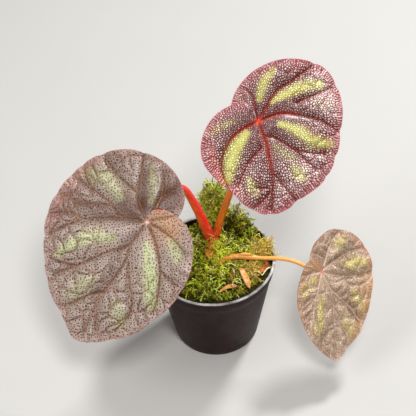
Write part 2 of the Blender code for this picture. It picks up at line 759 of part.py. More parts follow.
def shade_round_pieces(parts):
    for obj in parts.objects:
        obj.data.shade_smooth()
        obj.data.set_sharp_from_angle(angle=math.radians(40))


def main():
    clear_scene()
    parts = new_collection(PART_NAME)
    cutters = new_collection("cutters")
    build_pot(parts, cutters)
    build_medium(parts)
    rhizome_clearances = build_rhizome(parts, cutters)
    stalk_clearances = build_petioles(parts, cutters, rhizome_clearances)
    scale_clearances = build_scales(parts, cutters)
    build_moss(parts, rhizome_clearances + stalk_clearances + scale_clearances)
    for name, leaf in LEAVES.items():
        build_leaf(name, leaf, parts)
    shade_round_pieces(parts)


main()
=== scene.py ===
import math
import random

import bmesh
import bpy
import numpy as np
from mathutils import Matrix, Vector, noise


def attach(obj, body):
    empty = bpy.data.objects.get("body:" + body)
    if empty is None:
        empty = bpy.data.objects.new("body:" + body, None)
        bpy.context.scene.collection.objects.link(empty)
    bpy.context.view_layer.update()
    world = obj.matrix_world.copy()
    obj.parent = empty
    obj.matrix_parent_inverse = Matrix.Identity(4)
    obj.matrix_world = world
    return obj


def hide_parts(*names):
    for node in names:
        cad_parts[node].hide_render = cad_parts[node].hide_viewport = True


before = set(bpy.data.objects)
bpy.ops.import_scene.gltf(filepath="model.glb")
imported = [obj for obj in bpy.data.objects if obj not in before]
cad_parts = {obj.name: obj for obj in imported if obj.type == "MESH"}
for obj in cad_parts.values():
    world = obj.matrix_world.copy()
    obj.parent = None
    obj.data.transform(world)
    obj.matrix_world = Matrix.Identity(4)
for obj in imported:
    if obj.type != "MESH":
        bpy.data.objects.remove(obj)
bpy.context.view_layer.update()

# Potted begonia. The dictionaries give lengths in mm, angles in degrees and colours from 0 to 255.
mm = 0.001
goldenTurn = math.pi * (3.0 - math.sqrt(5.0))
root = "root"


# Small helpers for curves and points

def catmullRom(before, start, end, after, share):
    square = share * share
    cube = square * share
    return 0.5 * (2 * start + (end - before) * share
                  + (2 * before - 5 * start + 4 * end - after) * square
                  + (3 * start - before - 3 * end + after) * cube)


def denseCurve(points, steps):
    # a smooth curve through the points, with steps to each span
    padded = [points[0], *points, points[-1]]
    curve = []
    for k in range(len(points) - 1):
        span = padded[k:k + 4]
        for step in range(steps):
            curve.append(tuple(catmullRom(*values, step / steps) for values in zip(*span)))
    curve.append(tuple(points[-1]))
    return curve


def flatPoint(degrees, radius):
    angle = math.radians(degrees)
    return Vector((radius * math.cos(angle), radius * math.sin(angle)))


def discPlace(a, b):
    # a square's point spread on a disc, as a share of a turn and of the radius
    if a == 0.0 and b == 0.0:
        return 0.0, 0.0
    if abs(a) >= abs(b):
        reach = a
        angle = math.pi / 4 * (b / a)
    else:
        reach = b
        angle = math.pi / 2 - math.pi / 4 * (a / b)
    if reach < 0.0:
        angle += math.pi
    return (angle / math.tau) % 1.0, abs(reach)


def fade(value, start, end):
    # 0 at start and 1 at end, smooth on the way
    share = np.clip((value - start) / (end - start), 0.0, 1.0)
    return share * share * (3.0 - 2.0 * share)


# Small helpers for shader nodes

def tone(red, green, blue):
    # linear colour of an everyday 0 to 255 colour
    return (*(((value / 255 + 0.055) / 1.055) ** 2.4 for value in (red, green, blue)), 1.0)


def tones(colours):
    return {label: tone(*colour) for label, colour in colours.items()}


def darker(colour, share):
    return (*(value * share for value in colour[:3]), 1.0)


def feed(tree, socket, value):
    if isinstance(value, bpy.types.NodeSocket):
        tree.links.new(value, socket)
    else:
        socket.default_value = value


def addNode(tree, kind, **settings):
    made = tree.nodes.new("ShaderNode" + kind)
    for name, value in settings.items():
        setattr(made, name, value)
    return made


def calc(tree, operation, *values, clamp=False):
    step = addNode(tree, "Math", operation=operation, use_clamp=clamp)
    for socket, value in zip(step.inputs, values):
        feed(tree, socket, value)
    return step.outputs[0]


def times(tree, first, second, plus=0.0, clamp=False):
    return calc(tree, "MULTIPLY_ADD", first, second, plus, clamp=clamp)


def mixColour(tree, share, first, second):
    step = addNode(tree, "Mix", data_type="RGBA")
    feed(tree, step.inputs[0], share)
    feed(tree, step.inputs[6], first)
    feed(tree, step.inputs[7], second)
    return step.outputs[2]


def between(tree, value, start, end):
    # 0 at start and 1 at end, smooth on the way
    step = addNode(tree, "MapRange", interpolation_type="SMOOTHSTEP")
    for socket, number in zip(step.inputs, (value, start, end, 0.0, 1.0)):
        feed(tree, socket, number)
    return step.outputs[0]


def attribute(tree, name, output="Fac"):
    return addNode(tree, "Attribute", attribute_name=name).outputs[output]


def noiseValue(tree, place, size, detail=3.0, rough=0.55):
    # noise whose features are about size mm across, on places in metres
    step = addNode(tree, "TexNoise")
    feed(tree, step.inputs["Vector"], place)
    step.inputs["Scale"].default_value = 1.0 / (size * mm)
    step.inputs["Detail"].default_value = detail
    step.inputs["Roughness"].default_value = rough
    return step.outputs[0]


def colourRamp(tree, value, stops):
    step = addNode(tree, "ValToRGB")
    elements = step.color_ramp.elements
    elements[0].position, elements[0].color = stops[0]
    elements[1].position, elements[1].color = stops[-1]
    for position, colour in stops[1:-1]:
        elements.new(position).color = colour
    feed(tree, step.inputs[0], value)
    return step.outputs[0]


def cellGap(tree, place, size):
    # distance to the nearest of some scattered points about size mm apart
    step = addNode(tree, "TexVoronoi")
    feed(tree, step.inputs["Vector"], place)
    step.inputs["Scale"].default_value = 1.0 / (size * mm)
    return step.outputs[0]


def objectPlace(tree):
    return addNode(tree, "TexCoord").outputs["Object"]


def objectHeight(tree):
    step = addNode(tree, "SeparateXYZ")
    feed(tree, step.inputs[0], objectPlace(tree))
    return step.outputs[2]


def makeGroup(name, inputs):
    # a shader node group that puts out a colour and a height; returns it with its inner sockets
    group = bpy.data.node_groups.new(name, "ShaderNodeTree")
    for label, value in inputs.items():
        kind = "NodeSocketColor" if isinstance(value, tuple) else "NodeSocketFloat"
        socket = group.interface.new_socket(name=label, in_out="INPUT", socket_type=kind)
        socket.default_value = value
    for label in ("Color", "Height"):
        kind = "NodeSocketColor" if label == "Color" else "NodeSocketFloat"
        group.interface.new_socket(name=label, in_out="OUTPUT", socket_type=kind)
    return group, group.nodes.new("NodeGroupInput").outputs, group.nodes.new("NodeGroupOutput").inputs


def useGroup(tree, group, values):
    step = addNode(tree, "Group", node_tree=group)
    for label, value in values.items():
        feed(tree, step.inputs[label], value)
    return step.outputs


def newMaterial(name, roughness, specular=0.5, sheen=0.0):
    material = bpy.data.materials.new(name)
    material.use_nodes = True
    shader = material.node_tree.nodes["Principled BSDF"]
    shader.inputs["Roughness"].default_value = roughness
    shader.inputs["Specular IOR Level"].default_value = specular
    shader.inputs["Sheen Weight"].default_value = sheen
    return material, material.node_tree, shader


def addBump(tree, shader, height, distance, strength=1.0):
    # height in units of distance mm
    bump = addNode(tree, "Bump")
    bump.inputs["Strength"].default_value = strength
    bump.inputs["Distance"].default_value = distance * mm
    feed(tree, bump.inputs["Height"], height)
    feed(tree, shader.inputs["Normal"], bump.outputs[0])


# Small helpers for meshes

def addObject(name, data):
    made = bpy.data.objects.new(name, data)
    bpy.context.scene.collection.objects.link(made)
    return made


def turnTo(heading):
    # turns +Z to a heading
    return heading.to_track_quat("Z", "Y").to_matrix().to_4x4()


def finishPiece(mesh, name, materials, nodes=()):
    piece = addObject(name, mesh)
    for material in materials:
        mesh.materials.append(material)
    mesh.shade_smooth()
    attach(piece, root)
    if nodes:
        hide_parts(*nodes)
    return piece


def meshFrom(bm, name, recalc=True):
    mesh = bpy.data.meshes.new(name)
    if recalc:
        bmesh.ops.recalc_face_normals(bm, faces=bm.faces[:])
    bm.to_mesh(mesh)
    bm.free()
    return mesh


def readPoints(mesh):
    points = np.empty(len(mesh.vertices) * 3)
    mesh.vertices.foreach_get("co", points)
    return points.reshape(-1, 3)


def readValues(mesh, label):
    values = np.empty(len(mesh.vertices), np.float32)
    mesh.attributes[label].data.foreach_get("value", values)
    return values.astype(float)


def writeValues(mesh, label, values):
    kind = "FLOAT" if values.ndim == 1 else "FLOAT_VECTOR"
    field = mesh.attributes.get(label) or mesh.attributes.new(label, kind, "POINT")
    name = "value" if values.ndim == 1 else "vector"
    field.data.foreach_set(name, values.astype(np.float32).ravel())


def addCopy(bm, template, matrix, **values):
    # adds a copy of a small template mesh, with one value of each named attribute over all of it
    copy = template.copy()
    copy.transform(matrix)
    for label, value in values.items():
        writeValues(copy, label, np.full(len(copy.vertices), value))
    bm.from_mesh(copy)
    bpy.data.meshes.remove(copy)


def evaluatedMesh(piece):
    bpy.context.view_layer.update()
    return bpy.data.meshes.new_from_object(piece.evaluated_get(bpy.context.evaluated_depsgraph_get()))


def tubeMesh(name, routes, sides, steps):
    # one mesh of round tubes, each along a smooth curve through points of x, y, z and radius
    curve = bpy.data.curves.new(name, "CURVE")
    curve.dimensions = "3D"
    curve.bevel_depth = mm
    curve.bevel_resolution = sides
    curve.use_fill_caps = True
    for route in routes:
        path = denseCurve(route, steps)
        spline = curve.splines.new("POLY")
        spline.points.add(len(path) - 1)
        for point, (x, y, z, radius) in zip(spline.points, path):
            point.co = (x * mm, y * mm, z * mm, 1.0)
            point.radius = radius
    guide = addObject(name, curve)
    mesh = evaluatedMesh(guide)
    bpy.data.objects.remove(guide)
    bpy.data.curves.remove(curve)
    bm = bmesh.new()
    bm.from_mesh(mesh)
    bmesh.ops.remove_doubles(bm, verts=bm.verts[:], dist=0.005 * mm)
    bmesh.ops.recalc_face_normals(bm, faces=bm.faces[:])
    bm.to_mesh(mesh)
    bm.free()
    mesh.materials.clear()
    return mesh


# Camera, lights and floor

stageLook = {
    "eye": (-1.4, -459.6, 547.0), "elevation": 45.0, "roll": -3.1, "lens": 115.1, "sensor": 36.0,
    "floorSize": 6.0, "floor": (180, 178, 174), "world": (226, 228, 232), "worldStrength": 0.34,
    "aim": (0.0, 0.0, 0.08),
    "lights": [
        {"name": "key", "place": (0.10, -0.44, 0.82), "size": 0.22, "watts": 5.8},
        {"name": "back", "place": (0.40, 0.46, 0.68), "size": 0.16, "watts": 8.0},
        {"name": "fill", "place": (-0.60, -0.26, 0.74), "size": 0.5, "watts": 4.0},
    ],
}


def buildStage():
    scene = bpy.context.scene
    camera = bpy.data.cameras.new("camera")
    camera.lens = stageLook["lens"]
    camera.sensor_width = stageLook["sensor"]
    viewer = addObject("camera", camera)
    tilt = math.radians(stageLook["elevation"])
    roll = math.radians(stageLook["roll"])
    forward = Vector((0.0, math.cos(tilt), -math.sin(tilt)))
    side = Vector((1.0, 0.0, 0.0))
    top = side.cross(forward)
    across = side * math.cos(roll) + top * math.sin(roll)
    upward = top * math.cos(roll) - side * math.sin(roll)
    turn = Matrix((across, upward, -forward)).transposed().to_4x4()
    viewer.matrix_world = Matrix.Translation(Vector(stageLook["eye"]) * mm) @ turn
    scene.camera = viewer

    for light in stageLook["lights"]:
        lamp = bpy.data.lights.new(light["name"], "AREA")
        lamp.shape = "DISK"
        lamp.size = light["size"]
        lamp.energy = light["watts"]
        lampObject = addObject(light["name"], lamp)
        lampObject.location = light["place"]
        aim = Vector(stageLook["aim"]) - Vector(light["place"])
        lampObject.rotation_euler = aim.to_track_quat("-Z", "Y").to_euler()

    world = bpy.data.worlds.new("studio")
    world.use_nodes = True
    background = world.node_tree.nodes["Background"]
    background.inputs["Color"].default_value = tone(*stageLook["world"])
    background.inputs["Strength"].default_value = stageLook["worldStrength"]
    scene.world = world
    scene.view_settings.view_transform = "Standard"

    bm = bmesh.new()
    bmesh.ops.create_grid(bm, x_segments=2, y_segments=2, size=stageLook["floorSize"] / 2)
    floor = addObject("floor", meshFrom(bm, "floor"))
    material, tree, shader = newMaterial("pale floor", 0.85, 0.2)
    cloud = noiseValue(tree, objectPlace(tree), 60.0)
    pale = tone(*stageLook["floor"])
    feed(tree, shader.inputs["Base Color"], mixColour(tree, cloud, pale, darker(pale, 0.96)))
    floor.data.materials.append(material)


buildStage()
print("stage ready")


# Nursery pot: a thin moulded shell with a lip and a low collar

potLook = {
    "height": 51.0, "baseRadius": 21.8, "rimRadius": 31.5, "wall": 1.0, "floor": 1.4,
    "edge": 0.3, "ease": 0.09, "flare": 0.1, "middleRing": 9.0,
    "collarHeight": 6.0, "collarStep": 0.7, "lipHeight": 1.2, "lipWidth": 1.4, "corner": 0.8,
    "steps": 144, "wallRings": 14, "drainHoles": 5, "drainRadius": 2.2, "drainCircle": 13.5,
    # the pale band on the lip's top edge is a painted highlight
    "wobble": 0.16, "wobbleReach": 4.0, "lipHighlightDepths": (0.8, 0.1), "lipHighlightAt": (0.25, 0.62),
    "dustFrom": 30.0, "dustAt": (0.58, 0.75), "dustShow": 0.35, "paleAt": (0.35, 0.7),
    "roughness": (0.34, 0.25),
    "body": (30, 9, 10), "bodyPale": (40, 17, 18), "lipHighlight": (196, 192, 190), "dust": (96, 84, 74),
}


def potInner(height):
    lower = potLook["baseRadius"] - potLook["wall"]
    upper = potLook["rimRadius"] - potLook["lipWidth"]
    return lower + (upper - lower) * (height - potLook["floor"]) / (potLook["height"] - potLook["floor"])


def potProfile():
    # radius and height from the middle of the inside, over the lip, to the middle of the base
    top, floor, corner, edge = (potLook[label] for label in ("height", "floor", "corner", "edge"))
    rim, base, rings = (potLook[label] for label in ("rimRadius", "baseRadius", "wallRings"))
    ease, flare, middle = (potLook[label] for label in ("ease", "flare", "middleRing"))
    lipFoot = top - potLook["lipHeight"]
    collarFoot = top - potLook["collarHeight"]
    wall = potInner(collarFoot) + potLook["wall"]
    collar = wall + potLook["collarStep"]
    inner = top - edge * 2
    profile = [(0.0, floor), (middle, floor), (potInner(floor) - corner, floor)]
    for k in range(rings):
        height = floor + corner + (inner - floor - corner) * k / rings
        profile.append((potInner(height), height))
    profile += [(potInner(inner), inner), (potInner(top) + 0.12, top - 0.12), (potInner(top) + edge, top),
                (rim - edge, top), (rim - ease, top - ease), (rim, top - edge), (rim, lipFoot + edge),
                (rim - ease, lipFoot + ease), (rim - edge, lipFoot), (collar + flare, lipFoot - flare),
                (collar, lipFoot - 0.4), (collar - flare / 2, (lipFoot + collarFoot) / 2),
                (collar - flare, collarFoot + 0.15), (collar - edge, collarFoot - flare / 2)]
    for k in range(rings):
        share = k / rings
        profile.append((wall + (base + flare - wall) * share,
                        collarFoot - 0.4 + (corner - collarFoot + 0.4) * share))
    return profile + [(base + flare, corner), (base - 0.25, 0.22), (base - corner, 0.0), (middle, 0.0),
                      (0.0, 0.0)]


def potMaterial():
    material, tree, shader = newMaterial("dark pot plastic", 0.5, 0.16)
    place = objectPlace(tree)
    height = objectHeight(tree)
    top = potLook["height"]
    cloud = noiseValue(tree, place, 9.0)
    grain = noiseValue(tree, place, 0.35, 2.0)
    smears = noiseValue(tree, place, 2.6, 5.0, 0.7)
    # a pale mottled band on the lip's top edge: painted highlight
    lip = between(tree, height, *((top - depth) * mm for depth in potLook["lipHighlightDepths"]))
    upper = between(tree, height, potLook["dustFrom"] * mm, top * mm)
    lipHighlight = times(tree, lip, between(tree, cloud, *potLook["lipHighlightAt"]))
    dusty = times(tree, between(tree, smears, *potLook["dustAt"]), times(tree, upper, potLook["dustShow"]))
    look = {label: tone(*potLook[label]) for label in ("body", "bodyPale", "lipHighlight", "dust")}
    colour = mixColour(tree, between(tree, cloud, *potLook["paleAt"]), look["body"], look["bodyPale"])
    colour = mixColour(tree, lipHighlight, colour, look["lipHighlight"])
    feed(tree, shader.inputs["Base Color"], mixColour(tree, dusty, colour, look["dust"]))
    least, more = potLook["roughness"]
    feed(tree, shader.inputs["Roughness"], times(tree, smears, more, least))
    addBump(tree, shader, times(tree, cloud, 2.0, grain), 0.04, 0.6)
    return material


def buildPot():
    bm = bmesh.new()
    verts = [bm.verts.new((radius * mm, 0.0, height * mm)) for radius, height in potProfile()]
    for first, second in zip(verts, verts[1:]):
        bm.edges.new((first, second))
    bmesh.ops.spin(bm, geom=bm.verts[:] + bm.edges[:], cent=(0, 0, 0), axis=(0, 0, 1), dvec=(0, 0, 0),
                   angle=math.tau, steps=potLook["steps"], use_merge=True)
    bmesh.ops.remove_doubles(bm, verts=bm.verts[:], dist=0.01 * mm)
    for vert in bm.verts:
        lift = fade(vert.co.z / mm, potLook["height"] - potLook["wobbleReach"], potLook["height"])
        if lift > 0.0:
            around = Vector((vert.co.x, vert.co.y, 0.0)).normalized()
            uneven = noise.noise(around * 5.0) + 0.6 * noise.noise(around * 13.0)
            vert.co += around * (potLook["wobble"] * mm * lift * uneven)
            vert.co.z += potLook["wobble"] * mm * lift * noise.noise(around * 9.0 + Vector((3.0, 1.0, 7.0)))
    pot = finishPiece(meshFrom(bm, "nursery_pot"), "nursery_pot", [potMaterial()], ["pot"])
    cutters = []
    radius = potLook["drainRadius"] * mm
    for k in range(potLook["drainHoles"]):
        angle = math.tau * k / potLook["drainHoles"]
        bm = bmesh.new()
        place = Vector((math.cos(angle), math.sin(angle), 0.0)) * potLook["drainCircle"] * mm
        bmesh.ops.create_cone(bm, cap_ends=True, segments=28, radius1=radius, radius2=radius,
                              depth=8.0 * mm, matrix=Matrix.Translation(place))
        cutter = addObject("drain_cutter", meshFrom(bm, "drain_cutter"))
        drill = pot.modifiers.new("drain", "BOOLEAN")
        drill.operation = "DIFFERENCE"
        drill.object = cutter
        cutters.append(cutter)
    drilled = evaluatedMesh(pot)
    pot.modifiers.clear()
    pot.data = drilled
    drilled.set_sharp_from_angle(angle=math.radians(50))
    for cutter in cutters:
        bpy.data.objects.remove(cutter)


buildPot()
print("pot ready")


# Potting mix and the dark floor of the moss

mossShape = {
    "mixTop": 42.0, "level": 48.3, "gap": 0.3, "floorDrop": 1.3, "mixCells": 60, "floorCells": 96,
    # x, y, rise and spread of each hump
    "humps": [(13.0, 20.0, 14.5, 7.2), (27.0, 4.0, 4.5, 5.5), (7.0, -14.0, 3.0, 11.0),
              (-16.0, -4.0, 2.0, 10.0), (1.0, 12.0, 2.5, 6.0), (25.5, 14.0, -5.5, 5.0),
              (-19.0, 19.0, -4.0, 7.0)],
    "tuftCentre": (1.7, 24.5, 64.5), "tuftRadii": (5.6, 4.0, 17.0), "tuftLean": 0.10, "tuftCore": 0.58,
    "soil": {"Dark": (24, 16, 11), "Middle": (58, 40, 26), "Pale": (124, 98, 66)},
    "understory": {"Dark": (22, 24, 6), "Middle": (62, 62, 16), "Pale": (112, 94, 40)},
    "highColour": (118, 130, 14), "highFrom": 54.0, "highTo": 62.0,
}


def mossHeight(x, y):
    height = mossShape["level"] + 0.5 * math.sin(x * 0.5 + 1.0) * math.cos(y * 0.45)
    for humpX, humpY, rise, spread in mossShape["humps"]:
        away = ((x - humpX) ** 2 + (y - humpY) ** 2) / spread ** 2
        height += rise * math.exp(-away)
    return height


def tuftPoint(unit, share=1.0):
    # the point of the tuft's surface that faces the way of a unit vector, or a share of the way out
    centre = mossShape["tuftCentre"]
    radii = mossShape["tuftRadii"]
    rise = unit.z * radii[2] * share
    return Vector((centre[0] + unit.x * radii[0] * share,
                   centre[1] + unit.y * radii[1] * share + rise * mossShape["tuftLean"],
                   centre[2] + rise))


def heapedDisc(cells, heightAt, bottom):
    # a closed plug that fills the pot from bottom up to heightAt
    gap = mossShape["gap"]
    wall = potInner(mossShape["level"]) - gap
    bm = bmesh.new()
    bmesh.ops.create_grid(bm, x_segments=cells, y_segments=cells, size=1.0)
    for vert in bm.verts:
        turn, reach = discPlace(vert.co.x, vert.co.y)
        place = flatPoint(360.0 * turn, reach * wall)
        height = heightAt(place.x, place.y)
        if vert.is_boundary:
            place = flatPoint(360.0 * turn, potInner(height) - gap)
        vert.co = Vector((place.x, place.y, height)) * mm
    skirt = bmesh.ops.extrude_edge_only(bm, edges=[edge for edge in bm.edges if edge.is_boundary])["geom"]
    for vert in skirt:
        if isinstance(vert, bmesh.types.BMVert):
            vert.co.xy = vert.co.xy.normalized() * ((potInner(bottom) - gap) * mm)
            vert.co.z = bottom * mm
    bmesh.ops.holes_fill(bm, edges=[edge for edge in bm.edges if edge.is_boundary])
    return bm


def soilGroup():
    group, given, made = makeGroup("crumbs", tones(mossShape["soil"]))
    place = objectPlace(group)
    grain = noiseValue(group, place, 0.8, 4.0, 0.7)
    colour = mixColour(group, between(group, grain, 0.3, 0.65), given["Dark"], given["Middle"])
    spots = between(group, noiseValue(group, place, 1.9, 2.0), 0.62, 0.7)
    feed(group, made["Color"], mixColour(group, spots, colour, given["Pale"]))
    feed(group, made["Height"], calc(group, "SUBTRACT", grain, cellGap(group, place, 1.6)))
    return group


crumbGroup = soilGroup()


def crumbMaterial(name, colours, upper=None):
    # upper is the colour above the pot's rim
    material, tree, shader = newMaterial(name, 0.92, 0.2)
    crumbs = useGroup(tree, crumbGroup, tones(colours))
    colour = crumbs["Color"]
    if upper:
        high = between(tree, objectHeight(tree), mossShape["highFrom"] * mm, mossShape["highTo"] * mm)
        colour = mixColour(tree, high, colour, tone(*upper))
    feed(tree, shader.inputs["Base Color"], colour)
    addBump(tree, shader, crumbs["Height"], 0.5)
    return material


def lumps(x, y, *layers):
    return sum(share * noise.noise(Vector((x * scale, y * scale, shift))) for share, scale, shift in layers)


def mixHeight(x, y):
    return mossShape["mixTop"] - 0.9 + 0.6 * lumps(x, y, (1.0, 0.5, 0.0), (0.6, 1.3, 5.0))


def mossFloorHeight(x, y):
    return mossHeight(x, y) - mossShape["floorDrop"] + 0.9 * lumps(x, y, (1.0, 0.45, 9.0), (0.5, 1.4, 2.0))


def buildFloors():
    bottom = potLook["floor"] + mossShape["gap"] + potLook["corner"]
    bm = heapedDisc(mossShape["mixCells"], mixHeight, bottom)
    material = crumbMaterial("damp potting mix", mossShape["soil"])
    finishPiece(meshFrom(bm, "potting_mix"), "potting_mix", [material], ["growing_medium"])
    bm = heapedDisc(mossShape["floorCells"], mossFloorHeight, mossShape["mixTop"] + mossShape["gap"])
    bmesh.ops.create_uvsphere(bm, u_segments=32, v_segments=24, radius=2.0)
    for vert in bm.verts:
        if vert.co.length > 1.0:
            unit = vert.co.normalized()
            lump = 0.14 * noise.noise(Vector((unit.x * 3.0, unit.y * 3.0, unit.z * 9.0)))
            vert.co = tuftPoint(unit, mossShape["tuftCore"] + lump) * mm
    material = crumbMaterial("moss understory", mossShape["understory"], mossShape["highColour"])
    finishPiece(meshFrom(bm, "moss_floor"), "moss_floor", [material], ["moss"])


buildFloors()
print("potting mix and moss floor ready")


# Begonia blades

bladeShape = {
    "thickness": 0.55, "ribDepth": 0.75, "pucker": 2.7, "puckerWidth": 4.2, "spotRadius": 25.0,
    "light": (0.0, -1.0, 1.0), "lobeLift": 1.5, "lobeSpread": 55.0, "lobeStart": 5.0, "lobeSmoothing": 0.7,
    "droopReach": 50.0, "relaxRounds": 60, "fineness": 8, "sampleSteps": 24, "sameSide": 150.0,
    "veinWide": 0.48, "veinFine": 0.3, "netLine": 0.36,
    "edgeRipple": 0.35, "rimBand": 0.9, "notchFrom": 0.85, "notchWidth": 1.7,
    "hairLength": 0.9, "hairRadius": 0.05, "hairLean": 0.5, "hairRise": (-0.5, 0.3), "hairSize": (0.6, 1.15),
    # each wave is a size and a reach, each groove shade or fleck a strength and a reach; groove shade is
    # painted shade beside the veins and net lines
    "netWave": (9.0, 1.6), "spotWave": (2.5, 0.3), "ridgeWave": (3.0, 0.5), "crumpleWave": (4.5, 1.0),
    "veinGrooveShade": (0.8, 0.9), "netGrooveShade": (0.75, 0.6), "rimCalm": (0.85, 3.0), "netSoft": 1.3,
    "veinSoft": 1.5, "rippleTurns": 17.0, "rippleReach": 4.0, "ridgeLift": 0.12, "ribReach": 60.0,
    "netRib": 0.18,
    "bloomFleck": 0.35, "hubFleck": (0.25, 15.0), "hubDarkToneAndShade": 16.0, "patchGrooveShade": 0.6,
}
